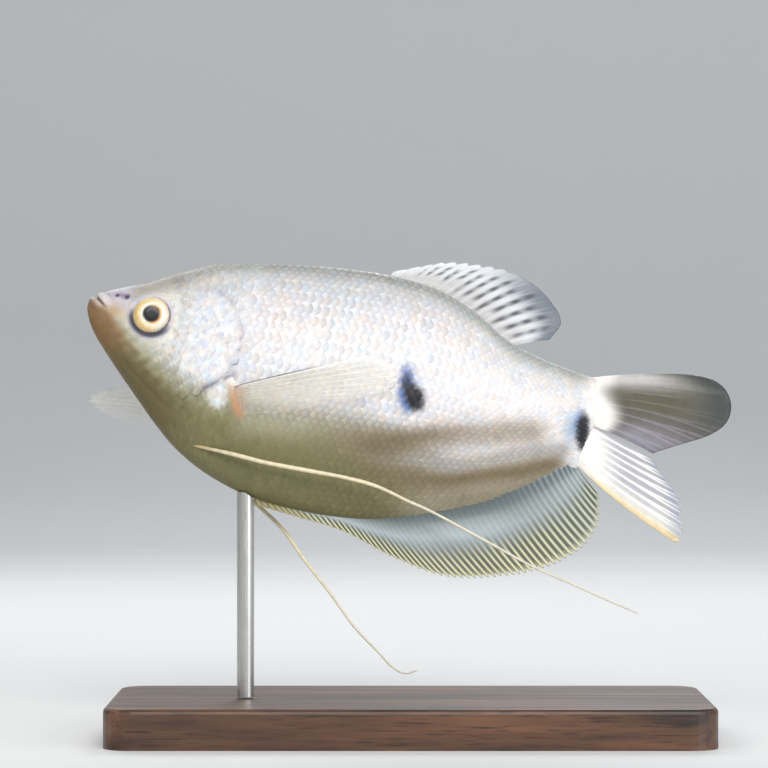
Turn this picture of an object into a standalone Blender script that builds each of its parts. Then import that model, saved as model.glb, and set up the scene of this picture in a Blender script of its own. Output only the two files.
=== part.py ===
"""A blue gourami at life size, swimming nose-up on a display stand.

Its head is towards -X and its left flank towards -Y. The fish is drawn in its own frame, in millimetres: x runs
back from the snout, y to its right and z to its back. Objects are in metres. The fish's pieces hang on an empty
that carries its pitch and bank over the stand.
"""

import math

import bmesh
import bpy
from mathutils import Matrix, Vector

MM = 0.001
GAP = 0.3  # between pieces that meet
PITCH = math.radians(13.1)  # nose up
BANK = math.radians(-10.0)  # belly towards -Y
SNOUT_PLACE = Vector((-56.4, 1.5, 75.6))  # the snout's tip over the middle of the stand

# Body profile: x, back, belly, widest level, half width, roundness above and below (2 is an ellipse, less is
# keeled).
BODY_PROFILE = (
    (0.75, -0.1, -2.4, -1.2, 0.9, 2.0, 2.0),
    (1.4, 1.1, -3.5, -1.0, 1.7, 2.0, 2.1),
    (2.6, 2.7, -5.1, -0.9, 2.5, 2.0, 2.1),
    (4.6, 3.8, -7.2, -1.3, 3.2, 2.0, 2.1),
    (7.0, 4.9, -9.5, -1.7, 4.0, 2.0, 2.0),
    (10.0, 6.3, -12.3, -2.2, 4.8, 2.0, 1.9),
    (13.0, 8.2, -15.0, -2.9, 5.4, 1.9, 1.85),
    (16.5, 10.1, -18.1, -3.8, 6.1, 1.9, 1.8),
    (20.5, 12.0, -21.2, -4.8, 6.9, 1.9, 1.75),
    (25.5, 13.4, -23.9, -5.8, 7.6, 1.9, 1.75),
    (31.0, 14.6, -25.8, -6.6, 8.0, 1.85, 1.75),
    (36.5, 15.6, -26.9, -7.0, 8.1, 1.85, 1.75),
    (42.5, 16.5, -27.2, -7.0, 7.9, 1.85, 1.7),
    (49.0, 17.1, -27.0, -6.6, 7.3, 1.85, 1.65),
    (55.0, 17.0, -26.2, -5.8, 6.5, 1.85, 1.6),
    (61.0, 16.2, -24.8, -4.7, 5.7, 1.8, 1.55),
    (67.0, 14.0, -22.7, -3.5, 4.8, 1.8, 1.55),
    (73.0, 10.7, -20.2, -2.6, 4.0, 1.85, 1.55),
    (79.0, 9.1, -16.8, -1.7, 3.3, 1.9, 1.6),
    (84.0, 8.3, -12.8, -0.9, 2.7, 2.0, 1.8),
    (88.0, 7.9, -9.3, -0.3, 2.1, 2.2, 2.1),
    (90.4, 7.7, -7.8, 0.0, 1.2, 2.5, 2.5),
)
BODY_END = 91.0
NOSE_CAP, TAIL_CAP = 0.4, 0.6  # how far the middle of each end stands out
TAIL_BEND_FROM, TAIL_BEND = 55.0, 1.6  # the stem swings this far to the right by the tail's root

RING_SIDES = 36
BODY_RINGS = 46
RING_CROWDING = 0.45  # 0 spaces the rings evenly, 1 crowds them at both ends
BLOCK = Vector((200.0, 80.0, 120.0))  # larger than the fish, for cuts across it

# The head ends at the gill opening; each gill cover is a plate let into the cheek.
HEAD_BACK = ((21.0, 22.0), (22.8, 10.4), (26.7, 4.8), (28.6, -0.5), (28.8, -5.2), (27.2, -9.6),
             (23.0, -13.4), (16.5, -17.0), (12.5, -22.0))
GILL_COVER = ((17.6, 4.3), (20.4, 5.9), (24.2, 5.3), (26.7, 2.5), (27.8, -1.5), (27.7, -5.4), (25.9, -9.1),
              (22.4, -12.1), (19.0, -13.2), (17.9, -11.7), (18.9, -6.5), (18.9, -1.5))
COVER_PROUD, COVER_DEPTH = 0.35, 1.3
COVER_REGION = (11.0, 38.0)  # stretch of the body that the cover lies in
OUTLINE_STEPS = 3  # points to each stretch of a curved outline
STEM_START = 75.0

# Eye: a flattened ball in a socket.
EYE_CENTRE = Vector((11.8, 3.6, -0.3))
EYE_RADIUS, EYE_DEPTH = 3.3, 2.5
EYE_SEGMENTS, EYE_RINGS = 20, 12

# Mouth: two rolled lips that meet at the corners of a small upturned mouth.
UPPER_LIP = ((2.1, 0.0, 1.95), (2.35, 0.95, 1.6), (3.2, 1.95, 0.5), (4.6, 2.7, -0.7))
LOWER_LIP = ((0.75, 0.0, 0.3), (1.1, 0.95, -0.05), (2.3, 1.9, -0.95), (4.2, 2.6, -1.9))
MOUTH_CLEFT = ((-1.0, 3.6), (-1.0, 2.9), (4.4, -1.15))  # thin wedge between the lips
LIP_RADIUS, LIP_END_RADIUS = 0.82, 0.5
LIP_SIDES, LIP_STEPS = 8, 6
NOSTRILS = ((5.0, 2.2, 0.3), (6.75, 2.2, 0.42))  # x, z, radius of each
NOSTRIL_DEPTH = 0.8

# Fins: half thickness of the membrane, what a ray adds to it, and half thickness at the margin.
MEMBRANE, RAY_RELIEF, RIM = 0.27, 0.2, 0.2

# Rows of a fin: share along the base, root x and z, margin x and z, margin's swing to the right.
DORSAL_FIN = (
    (0.0, 50.4, 16.2, 50.8, 17.9, 0.0),
    (0.12, 52.4, 16.1, 55.6, 20.1, 0.3),
    (0.26, 55.0, 16.0, 60.2, 22.0, 0.7),
    (0.42, 58.6, 15.5, 65.8, 22.9, 1.1),
    (0.57, 62.2, 14.4, 71.2, 22.9, 1.4),
    (0.7, 65.4, 13.0, 75.7, 21.6, 1.5),
    (0.82, 68.3, 11.5, 79.5, 19.0, 1.4),
    (0.92, 70.8, 10.0, 81.6, 16.0, 1.2),
    (1.0, 73.0, 8.9, 80.3, 12.6, 1.0),
)
DORSAL_RAYS = 16
ANAL_FIN = (
    (0.0, 35.5, -25.2, 37.0, -27.9, 0.0),
    (0.1, 41.0, -25.6, 44.3, -28.3, -0.1),
    (0.23, 49.0, -25.3, 53.0, -29.0, -0.2),
    (0.35, 54.9, -24.5, 62.6, -31.5, -0.5),
    (0.47, 60.8, -23.2, 72.0, -32.6, -0.9),
    (0.61, 69.4, -20.2, 81.0, -30.4, -1.0),
    (0.745, 77.2, -16.4, 88.6, -26.8, -0.6),
    (0.855, 82.8, -12.6, 93.8, -22.0, 0.0),
    (0.935, 86.8, -9.4, 95.6, -17.0, 0.6),
    (1.0, 89.2, -7.6, 94.6, -12.0, 1.0),
)
ANAL_RAYS = 47
TAIL_UPPER = (
    (0.0, 88.6, 7.6, 109.6, 13.1, 3.2),
    (0.14, 88.8, 6.6, 112.8, 11.7, 3.4),
    (0.3, 89.0, 5.4, 114.4, 9.0, 3.8),
    (0.46, 89.0, 4.2, 114.1, 6.0, 4.2),
    (0.62, 89.0, 3.0, 111.8, 3.4, 4.5),
    (0.8, 89.0, 1.6, 107.2, 0.6, 4.6),
    (1.0, 89.0, 0.2, 102.6, -2.2, 4.2),
)
TAIL_LOWER = (
    (0.0, 89.0, -0.2, 102.4, -3.0, 4.0),
    (0.2, 89.0, -1.6, 105.4, -6.2, 2.4),
    (0.4, 89.0, -3.2, 108.2, -9.2, 0.4),
    (0.6, 89.0, -4.6, 109.2, -12.6, -2.0),
    (0.8, 88.8, -6.0, 109.8, -15.6, -4.4),
    (1.0, 88.6, -7.4, 109.4, -18.6, -6.6),
)
TAIL_RAYS = 8
TAIL_COLUMNS = 3 * TAIL_RAYS
# Left fin laid back along the flank, right fin swept forwards; margin x, y and z.
PECTORAL_ROOT = ((28.8, -8.6), (30.4, -14.2))
LEFT_PECTORAL = (
    (0.0, 50.5, -9.0, 1.2),
    (0.16, 54.6, -9.0, 0.6),
    (0.32, 56.2, -9.1, -1.5),
    (0.48, 55.2, -9.3, -4.0),
    (0.64, 51.4, -9.7, -6.6),
    (0.8, 45.6, -10.0, -9.2),
    (1.0, 37.6, -10.0, -12.8),
)
RIGHT_PECTORAL = (
    (0.0, 11.6, 13.2, -9.6),
    (0.2, 6.6, 14.6, -11.2),
    (0.4, 2.9, 15.2, -13.8),
    (0.6, 5.0, 15.2, -15.6),
    (0.8, 9.4, 14.6, -16.8),
    (1.0, 14.8, 13.4, -17.4),
)
PECTORAL_RAYS = 10
PECTORAL_SUNK = 0.7  # how deep its root starts below the skin
PECTORAL_BOW = 2.2  # how far it arches away from the flank

# Thread-like pelvic fins: x, y and z along each, thinning from root to tip, each in three lengths.
LEFT_FEELER = ((24.6, -3.2, -20.6), (30.9, -6.2, -21.0), (37.0, -7.4, -21.3), (44.0, -7.9, -21.1),
               (51.0, -7.9, -20.8), (56.6, -7.6, -21.0), (62.4, -7.2, -22.2), (67.0, -7.0, -23.1),
               (76.5, -7.4, -25.8), (85.3, -7.8, -28.3), (92.8, -8.0, -29.8), (99.3, -7.8, -31.1),
               (105.3, -7.4, -32.1))
RIGHT_FEELER = ((25.8, 3.0, -21.0), (29.4, 4.6, -23.2), (32.8, 5.0, -25.2), (37.0, 5.2, -27.1),
                (42.5, 5.4, -30.4), (47.1, 5.6, -34.5), (52.9, 5.8, -39.2), (58.0, 6.0, -43.7),
                (63.1, 6.2, -47.1), (66.3, 6.3, -49.2), (68.8, 6.2, -49.8), (70.8, 5.8, -48.7))
FEELER_RADIUS, FEELER_TIP_RADIUS = 0.55, 0.26
FEELER_SIDES, FEELER_STEPS = 8, 36
FEELER_LENGTHS = ("root", "middle", "tip")

# Display stand, in the world's frame.
BASE_SIZE = Vector((104.0, 46.0, 7.0))
BASE_CORNER, BASE_EDGE = 5.0, 0.9
ROD_PLACE, ROD_RADIUS, ROD_SIDES = Vector((-28.5, -3.0, 0.0)), 1.5, 20
ROD_TOP = 55.0  # before the breast's shape is cut from it


class Smooth:
    """A smooth curve through rows of (t, a, b, ...): called with t, it gives the values there."""

    def __init__(self, rows):
        self.t = [row[0] for row in rows]
        self.values = [row[1:] for row in rows]
        self.slopes = [self.slope(i) for i in range(len(rows))]

    def slope(self, i):
        before, after = max(i - 1, 0), min(i + 1, len(self.t) - 1)
        run = self.t[after] - self.t[before]
        return [(b - a) / run for a, b in zip(self.values[before], self.values[after])]

    def __call__(self, t):
        t = min(max(t, self.t[0]), self.t[-1])
        i = max(k for k in range(len(self.t) - 1) if self.t[k] <= t)
        run = self.t[i + 1] - self.t[i]
        s = (t - self.t[i]) / run
        start, end = 2 * s**3 - 3 * s**2 + 1, 3 * s**2 - 2 * s**3
        leave, arrive = (s**3 - 2 * s**2 + s) * run, (s**3 - s**2) * run
        rows = zip(self.values[i], self.values[i + 1], self.slopes[i], self.slopes[i + 1])
        return [start * a + end * b + leave * m + arrive * n for a, b, m, n in rows]


def clear_scene():
    for obj in list(bpy.data.objects):
        bpy.data.objects.remove(obj)


def material(name, colour, roughness, metallic=0.0):
    made = bpy.data.materials.new(name)
    made.use_nodes = True
    shader = made.node_tree.nodes["Principled BSDF"]
    shader.inputs["Base Color"].default_value = (*colour, 1.0)
    shader.inputs["Roughness"].default_value = roughness
    shader.inputs["Metallic"].default_value = metallic
    return made


def to_object(name, bm, finish=None, parent=None):
    """Stores a mesh drawn in millimetres as an object in metres, with its faces pointing out."""
    bmesh.ops.remove_doubles(bm, verts=bm.verts, dist=1e-4)
    bmesh.ops.dissolve_degenerate(bm, edges=bm.edges, dist=1e-5)
    bmesh.ops.recalc_face_normals(bm, faces=bm.faces)
    bmesh.ops.scale(bm, vec=Vector((MM, MM, MM)), verts=bm.verts)
    mesh = bpy.data.meshes.new(name)
    bm.to_mesh(mesh)
    bm.free()
    obj = bpy.data.objects.new(name, mesh)
    bpy.context.scene.collection.objects.link(obj)
    obj.parent = parent
    if finish:
        mesh.materials.append(finish)
        mesh.shade_smooth()
        mesh.set_sharp_from_angle(angle=math.radians(40))
    return obj


def combine(obj, other, operation):
    """Cuts, joins or intersects obj with other, and stores the result in obj."""
    step = obj.modifiers.new("combine", "BOOLEAN")
    step.operation = operation
    step.object = other
    bpy.context.view_layer.update()
    graph = bpy.context.evaluated_depsgraph_get()
    mesh = bpy.data.meshes.new_from_object(obj.evaluated_get(graph))
    obj.modifiers.clear()
    obj.data = mesh


def keep_largest(obj):
    """Drops every closed surface of obj but the largest."""
    bm = bmesh.new()
    bm.from_mesh(obj.data)
    left, bodies = set(bm.verts), []
    while left:
        found, edge = set(), {left.pop()}
        while edge:
            found |= edge
            edge = {e.other_vert(v) for v in edge for e in v.link_edges} - found
        left -= found
        bodies.append(found)
    bodies.sort(key=len)
    for scrap in bodies[:-1]:
        bmesh.ops.delete(bm, geom=list(scrap), context="VERTS")
    bm.to_mesh(obj.data)
    bm.free()


def remove(*helpers):
    for obj in helpers:
        bpy.data.objects.remove(obj)


PROFILE = Smooth(BODY_PROFILE)


def bend(x):
    """How far the spine lies to the right at x."""
    share = max(0.0, x - TAIL_BEND_FROM) / (BODY_END - TAIL_BEND_FROM)
    return TAIL_BEND * share**2


def skin_point(x, angle):
    """A point of the body's surface: angle 0 is the right flank and 90 degrees the back."""
    back, belly, level, half, above, below = PROFILE(x)
    across, up = math.cos(angle), math.sin(angle)
    roundness, reach = (above, back - level) if up >= 0 else (below, level - belly)
    side = math.copysign(abs(across) ** (2 / roundness), across)
    rise = math.copysign(abs(up) ** (2 / roundness), up)
    return Vector((x, bend(x) + half * side, level + reach * rise))


def flank(x, z):
    """The half width of the body at x and z."""
    back, belly, level, half, above, below = PROFILE(x)
    roundness, reach = (above, back - level) if z >= level else (below, level - belly)
    share = min(1.0, abs(z - level) / reach)
    return half * (1 - share**roundness) ** (1 / roundness)


def body_stations(start, end):
    """Places of the body's rings, closer together towards both ends."""
    count = max(8, round(BODY_RINGS * (end - start) / BODY_END))
    shares = [k / (count - 1) for k in range(count)]
    eased = [share - RING_CROWDING * math.sin(2 * math.pi * share) / (2 * math.pi) for share in shares]
    return [start + (end - start) * share for share in eased]


def body_mesh(grown=0.0, start=BODY_PROFILE[0][0], end=BODY_PROFILE[-1][0]):
    """The body as rings bridged from start to end, moved out along its normals by grown."""
    bm = bmesh.new()
    rings = []
    stations = body_stations(start, end)
    for x in stations:
        ring = bmesh.ops.create_circle(bm, segments=RING_SIDES, radius=1.0)["verts"]
        for k, vert in enumerate(ring):
            vert.co = skin_point(x, 2 * math.pi * k / RING_SIDES)
        rings.append(ring)
    for ahead, behind in zip(rings, rings[1:]):
        for k in range(RING_SIDES):
            n = (k + 1) % RING_SIDES
            bm.faces.new((ahead[k], ahead[n], behind[n], behind[k]))
    for ring, x in ((rings[0], start - NOSE_CAP), (rings[-1], end + TAIL_CAP)):
        level = sum(v.co.z for v in ring) / RING_SIDES
        middle = bmesh.ops.poke(bm, faces=[bm.faces.new(ring)])["verts"][0]
        middle.co = Vector((x, bend(x), level))
    bmesh.ops.recalc_face_normals(bm, faces=bm.faces)
    bm.normal_update()
    moves = [(v, v.normal * grown) for v in bm.verts]
    for vert, move in moves:
        vert.co += move
    return bm


def rounded(outline, closed=True):
    """A finer outline, curved through the points of a coarse one."""
    count = len(outline)
    if closed:
        curve = Smooth([(k, *outline[k % count]) for k in range(-1, count + 2)])
        return [curve(k / OUTLINE_STEPS) for k in range(count * OUTLINE_STEPS)]
    curve = Smooth([(k, *outline[k]) for k in range(count)])
    return [curve(k / OUTLINE_STEPS) for k in range((count - 1) * OUTLINE_STEPS + 1)]


def widened(outline, by):
    """A closed outline with every side moved out by the same width."""
    points = [Vector(p) for p in outline]
    count = len(points)
    area = sum(points[k].x * points[(k + 1) % count].y - points[(k + 1) % count].x * points[k].y
               for k in range(count))
    turn = math.copysign(1.0, area)
    moved = []
    for k, here in enumerate(points):
        before, after = here - points[k - 1], points[(k + 1) % count] - here
        normals = [Vector((side.y, -side.x)).normalized() * turn for side in (before, after)]
        out = (normals[0] + normals[1]).normalized()
        moved.append(here + out * by / max(0.4, out.dot(normals[0])))
    return moved


def prism(outline, inner, outer):
    """A slab across the body between two values of y, with an outline of (x, z) points."""
    bm = bmesh.new()
    face = bm.faces.new([bm.verts.new((x, inner, z)) for x, z in outline])
    made = bmesh.ops.extrude_face_region(bm, geom=[face])["geom"]
    far = [v for v in made if isinstance(v, bmesh.types.BMVert)]
    bmesh.ops.translate(bm, vec=(0, outer - inner, 0), verts=far)
    bmesh.ops.recalc_face_normals(bm, faces=bm.faces)
    return bm


def box_ahead(x):
    """A block that holds everything ahead of x."""
    bm = bmesh.new()
    bmesh.ops.create_cube(bm, size=1.0)
    bmesh.ops.scale(bm, vec=BLOCK, verts=bm.verts)
    bmesh.ops.translate(bm, vec=(x - BLOCK.x / 2, 0, 0), verts=bm.verts)
    return bm


def head_outline():
    """The head's outline across the body: its back edge, closed well ahead of the snout."""
    return [*rounded(HEAD_BACK, closed=False), (-10.0, HEAD_BACK[-1][1]), (-10.0, HEAD_BACK[0][1])]


def eye_ball(side, grown=0.0):
    """A flattened ball on one side of the head."""
    bm = bmesh.new()
    bmesh.ops.create_uvsphere(bm, u_segments=EYE_SEGMENTS, v_segments=EYE_RINGS, radius=1.0)
    bmesh.ops.rotate(bm, matrix=Matrix.Rotation(math.pi / 2, 3, "X"), verts=bm.verts)
    size = Vector((EYE_RADIUS + grown, EYE_DEPTH + grown, EYE_RADIUS + grown))
    bmesh.ops.scale(bm, vec=size, verts=bm.verts)
    centre = Vector((EYE_CENTRE.x, side * EYE_CENTRE.y, EYE_CENTRE.z))
    bmesh.ops.translate(bm, vec=centre, verts=bm.verts)
    return bm


def tube(points, radius_at, sides):
    """A round closed tube through points, with its radius given by its share along them."""
    bm = bmesh.new()
    rings = []
    last = len(points) - 1
    for k, point in enumerate(points):
        along = (points[min(k + 1, last)] - points[max(k - 1, 0)]).normalized()
        turn = along.to_track_quat("Z", "Y").to_matrix().to_4x4()
        ring = bmesh.ops.create_circle(bm, segments=sides, radius=radius_at(k / last),
                                       matrix=Matrix.Translation(point) @ turn)["verts"]
        rings.append(ring)
    for ahead, behind in zip(rings, rings[1:]):
        shift = min(range(sides), key=lambda s: (behind[s].co - ahead[0].co).length)
        for k in range(sides):
            n = (k + 1) % sides
            bm.faces.new((ahead[k], ahead[n], behind[(n + shift) % sides], behind[(k + shift) % sides]))
    bm.faces.new(rings[0])
    bm.faces.new(rings[-1])
    return bm


def lip(rows):
    """A rolled lip that runs from one corner of the mouth over the middle to the other."""
    half = Smooth([(k / (len(rows) - 1), *row) for k, row in enumerate(rows)])
    right = [Vector(half(k / LIP_STEPS)) for k in range(LIP_STEPS + 1)]
    left = [Vector((p.x, -p.y, p.z)) for p in reversed(right[1:])]
    points = left + right

    def radius(share):
        middle = 1 - abs(2 * share - 1)
        return LIP_END_RADIUS + (LIP_RADIUS - LIP_END_RADIUS) * math.sqrt(middle)

    return tube(points, radius, LIP_SIDES)


def nostril(side, x, z, radius):
    """A pit in the snout, drilled across it from outside the skin."""
    surface = flank(x, z)
    points = [Vector((x, side * (surface - NOSTRIL_DEPTH), z)), Vector((x, side * (surface + 2.0), z))]
    return tube(points, lambda share: radius, 8)


def fin_sheet(place, half_thickness, columns, rows):
    """A closed thin sheet. place(u, v) is its middle, v runs from root to margin, and both faces split alike."""
    bm = bmesh.new()
    bmesh.ops.create_grid(bm, x_segments=columns, y_segments=rows, size=0.5)
    bmesh.ops.triangulate(bm, faces=bm.faces, quad_method="FIXED")
    made = bmesh.ops.extrude_face_region(bm, geom=bm.faces[:], use_keep_orig=True)["geom"]
    bmesh.ops.translate(bm, vec=(0, 0, 1), verts=[v for v in made if isinstance(v, bmesh.types.BMVert)])
    small = 1e-3
    for vert in bm.verts:
        u, v, face = vert.co.x + 0.5, vert.co.y + 0.5, 2 * vert.co.z - 1
        along = place(min(u + small, 1), v) - place(max(u - small, 0), v)
        out = place(u, min(v + small, 1)) - place(u, max(v - small, 0))
        on_rim = min(u, 1 - u, 1 - v) < small
        half = RIM if on_rim else half_thickness(u, v)
        vert.co = place(u, v) + along.cross(out).normalized() * face * half
    return bm


def ray_wave(u, rays):
    """1 along each ray and 0 midway between two."""
    return 0.5 - 0.5 * math.cos(2 * math.pi * u * rays)


def ribbed(rays, relief=RAY_RELIEF):
    """Half thickness of a fin whose rays rise from a smooth root and thin towards the margin."""
    def half(u, v):
        return MEMBRANE + 0.2 * (1 - v)**2 + relief * ray_wave(u, rays) * min(1, 5 * v) * (1 - 0.6 * v)

    return half


def scalloped(v, u, rays, depth):
    """Share from root to margin, drawn in between rays so that their tips stand out."""
    return v * (1 - depth * (1 - ray_wave(u, rays)))


def median_fin(rows, rays, notch, curve):
    """Middle surface of a fin in the body's plane; its rays bow by curve and its margin swings sideways."""
    shape = Smooth(rows)

    def place(u, v):
        root_x, root_z, tip_x, tip_z, swing = shape(u)
        v = scalloped(v, u, rays, notch)
        root = Vector((root_x, bend(root_x), root_z))
        tip = Vector((tip_x, bend(root_x) + swing, tip_z))
        ray = tip - root
        bow = Vector((-ray.z, 0, ray.x)).normalized() * ray.length * curve * 4 * v * (1 - v)
        point = root + ray * v + bow
        point.y = root.y + swing * v**1.5
        return point

    return place


def pectoral_fin(rows, side):
    """Middle surface of a pectoral fin, fanned from a short root sunk in the flank."""
    shape = Smooth(rows)
    (x0, z0), (x1, z1) = PECTORAL_ROOT

    def place(u, v):
        x, z = x0 + (x1 - x0) * u, z0 + (z1 - z0) * u
        root = Vector((x, side * (flank(x, z) - PECTORAL_SUNK), z))
        tip = Vector(shape(u))
        v = scalloped(v, u, PECTORAL_RAYS, 0.03)
        outward = Vector((0, side * PECTORAL_BOW * (1 - v) * (1 - math.exp(-v / 0.05)), 0))
        return root + (tip - root) * v + outward

    return place


def feeler_points(rows):
    shape = Smooth([(k / (len(rows) - 1), *row) for k, row in enumerate(rows)])
    return [Vector(shape(k / FEELER_STEPS)) for k in range(FEELER_STEPS + 1)]


def feelers(side_name, rows, finish, parent, cutter):
    """A pelvic thread in lengths that meet end to end, the first one cut to the breast."""
    points = feeler_points(rows)
    steps = FEELER_STEPS // len(FEELER_LENGTHS)
    for part, name in enumerate(FEELER_LENGTHS):
        first = part * steps
        stretch = [p.copy() for p in points[first:first + steps + 1]]
        if part:
            ahead = (stretch[1] - stretch[0]).normalized()
            stretch[0] += ahead * GAP

        def radius(share, start=first / FEELER_STEPS, run=steps / FEELER_STEPS):
            return FEELER_RADIUS + (FEELER_TIP_RADIUS - FEELER_RADIUS) * (start + run * share)

        thread = tube(stretch, radius, FEELER_SIDES)
        obj = to_object(f"pelvic_feeler_{side_name}_{name}", thread, finish, parent)
        if part == 0:
            combine(obj, cutter, "DIFFERENCE")
            keep_largest(obj)


def make_head(flesh, fish):
    """Head, gill covers and eyes, parted from the body's own shape."""
    head = to_object("head", body_mesh(), flesh, fish)
    head_side = to_object("head_side", prism(head_outline(), -20.0, 20.0), parent=fish)
    combine(head, head_side, "INTERSECT")
    for rows in (UPPER_LIP, LOWER_LIP):
        roll = to_object("lip", lip(rows), parent=fish)
        combine(head, roll, "UNION")
        remove(roll)
    core = to_object("core", body_mesh(-COVER_DEPTH, *COVER_REGION), parent=fish)
    deep_core = to_object("deep_core", body_mesh(-COVER_DEPTH - GAP, *COVER_REGION), parent=fish)
    proud = to_object("proud", body_mesh(COVER_PROUD), parent=fish)
    cleft = to_object("cleft", prism(MOUTH_CLEFT, -10.0, 10.0), parent=fish)
    combine(head, cleft, "DIFFERENCE")
    for side, word in ((-1, "left"), (1, "right")):
        outline = rounded(GILL_COVER)
        cover = to_object(f"gill_cover_{word}", prism(outline, side, side * 20.0), flesh, fish)
        combine(cover, proud, "INTERSECT")
        combine(cover, core, "DIFFERENCE")
        keep_largest(cover)
        bed = to_object("bed", prism(widened(outline, GAP), side, side * 20.0), parent=fish)
        combine(bed, deep_core, "DIFFERENCE")
        combine(head, bed, "DIFFERENCE")
        socket = to_object("socket", eye_ball(side, GAP), parent=fish)
        combine(head, socket, "DIFFERENCE")
        remove(bed, socket)
        for x, z, radius in NOSTRILS:
            pit = to_object("pit", nostril(side, x, z, radius), parent=fish)
            combine(head, pit, "DIFFERENCE")
            remove(pit)
    keep_largest(head)
    remove(head_side, cleft, core, deep_core, proud)


def make_trunk(flesh, fish):
    """Trunk and tail stem, behind the head's edge."""
    ahead_of_stem = to_object("ahead", box_ahead(STEM_START - GAP / 2), parent=fish)
    stem_cut = to_object("stem_cut", box_ahead(STEM_START + GAP / 2), parent=fish)
    head_side = to_object("head_side", prism(widened(head_outline(), GAP), -20.0, 20.0), parent=fish)
    trunk = to_object("trunk", body_mesh(), flesh, fish)
    combine(trunk, ahead_of_stem, "INTERSECT")
    combine(trunk, head_side, "DIFFERENCE")
    keep_largest(trunk)
    stem = to_object("tail_stem", body_mesh(), flesh, fish)
    combine(stem, stem_cut, "DIFFERENCE")
    remove(ahead_of_stem, stem_cut, head_side)


def cover_clearance(side, fish):
    """The room that a gill cover and the gap round it take up, open to the outside."""
    room = to_object("room", prism(widened(rounded(GILL_COVER), GAP), side, side * 20.0), parent=fish)
    proud = to_object("proud", body_mesh(COVER_PROUD + GAP), parent=fish)
    combine(room, proud, "INTERSECT")
    remove(proud)
    return room


def make_fins(finish, fish, cutter):
    """Every fin, its root cut to the body's shape with a fine gap."""
    sheets = {
        "dorsal_fin": fin_sheet(median_fin(DORSAL_FIN, DORSAL_RAYS, 0.07, 0.03), ribbed(DORSAL_RAYS),
                                2 * DORSAL_RAYS, 7),
        "anal_fin": fin_sheet(median_fin(ANAL_FIN, ANAL_RAYS, 0.05, -0.02), ribbed(ANAL_RAYS),
                              2 * ANAL_RAYS, 5),
        "tail_fin_upper": fin_sheet(median_fin(TAIL_UPPER, TAIL_RAYS, 0.02, 0.02), ribbed(TAIL_RAYS),
                                    TAIL_COLUMNS, 7),
        "tail_fin_lower": fin_sheet(median_fin(TAIL_LOWER, TAIL_RAYS, 0.02, -0.02), ribbed(TAIL_RAYS),
                                    TAIL_COLUMNS, 7),
        "pectoral_fin_left": fin_sheet(pectoral_fin(LEFT_PECTORAL, -1), ribbed(PECTORAL_RAYS),
                                       2 * PECTORAL_RAYS, 8),
        "pectoral_fin_right": fin_sheet(pectoral_fin(RIGHT_PECTORAL, 1), ribbed(PECTORAL_RAYS),
                                        2 * PECTORAL_RAYS, 8),
    }
    for name, sheet in sheets.items():
        fin = to_object(name, sheet, finish, fish)
        combine(fin, cutter, "DIFFERENCE")
        if name.startswith("pectoral"):
            room = cover_clearance(-1 if name.endswith("left") else 1, fish)
            combine(fin, room, "DIFFERENCE")
            remove(room)
        keep_largest(fin)


def make_stand(wood, steel, cutter):
    """A flat base with eased edges, and one rod up to the breast."""
    bm = bmesh.new()
    bmesh.ops.create_cube(bm, size=1.0)
    bmesh.ops.scale(bm, vec=BASE_SIZE, verts=bm.verts)
    bmesh.ops.translate(bm, vec=(0, 0, BASE_SIZE.z / 2), verts=bm.verts)
    upright = [e for e in bm.edges if abs(e.verts[0].co.z - e.verts[1].co.z) > 1]
    bmesh.ops.bevel(bm, geom=upright, offset=BASE_CORNER, segments=6, profile=0.5, affect="EDGES")
    top = [e for e in bm.edges if all(v.co.z > BASE_SIZE.z - 0.01 for v in e.verts)]
    bmesh.ops.bevel(bm, geom=top, offset=BASE_EDGE, segments=3, profile=0.5, affect="EDGES")
    to_object("stand_base", bm, wood)
    foot = Vector((ROD_PLACE.x, ROD_PLACE.y, BASE_SIZE.z + GAP))
    top = Vector((ROD_PLACE.x, ROD_PLACE.y, ROD_TOP))
    rod = to_object("stand_rod", tube([foot, top], lambda share: ROD_RADIUS, ROD_SIDES), steel)
    combine(rod, cutter, "DIFFERENCE")
    keep_largest(rod)


def main():
    clear_scene()
    flesh = material("silver skin", (0.72, 0.71, 0.68), 0.35)
    fin_web = material("fin membrane", (0.68, 0.72, 0.7), 0.4)
    eye_skin = material("eye", (0.85, 0.76, 0.5), 0.15)
    wood = material("dark walnut", (0.09, 0.05, 0.03), 0.45)
    steel = material("brushed steel", (0.62, 0.62, 0.6), 0.3, 1.0)
    fish = bpy.data.objects.new("fish_pose", None)
    bpy.context.scene.collection.objects.link(fish)
    fish.location = SNOUT_PLACE * MM
    fish.rotation_euler = (BANK, PITCH, 0.0)
    body_clear = to_object("body_clear", body_mesh(GAP), parent=fish)
    make_head(flesh, fish)
    make_trunk(flesh, fish)
    for side, word in ((-1, "left"), (1, "right")):
        to_object(f"eye_{word}", eye_ball(side), eye_skin, fish)
    make_fins(fin_web, fish, body_clear)
    feelers("left", LEFT_FEELER, fin_web, fish, body_clear)
    feelers("right", RIGHT_FEELER, fin_web, fish, body_clear)
    make_stand(wood, steel, body_clear)
    remove(body_clear)


main()
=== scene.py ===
"""Looks of the gourami model: skin, scales, fins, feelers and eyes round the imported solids, and its stand.

The fish is drawn in its own frame, in millimetres: x runs back from the snout, y to its right, z to its back.
Colours are sRGB hex values, and the scene is in metres.
"""
from __future__ import annotations

import logging
import math
from dataclasses import dataclass, field
from enum import Enum

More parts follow.
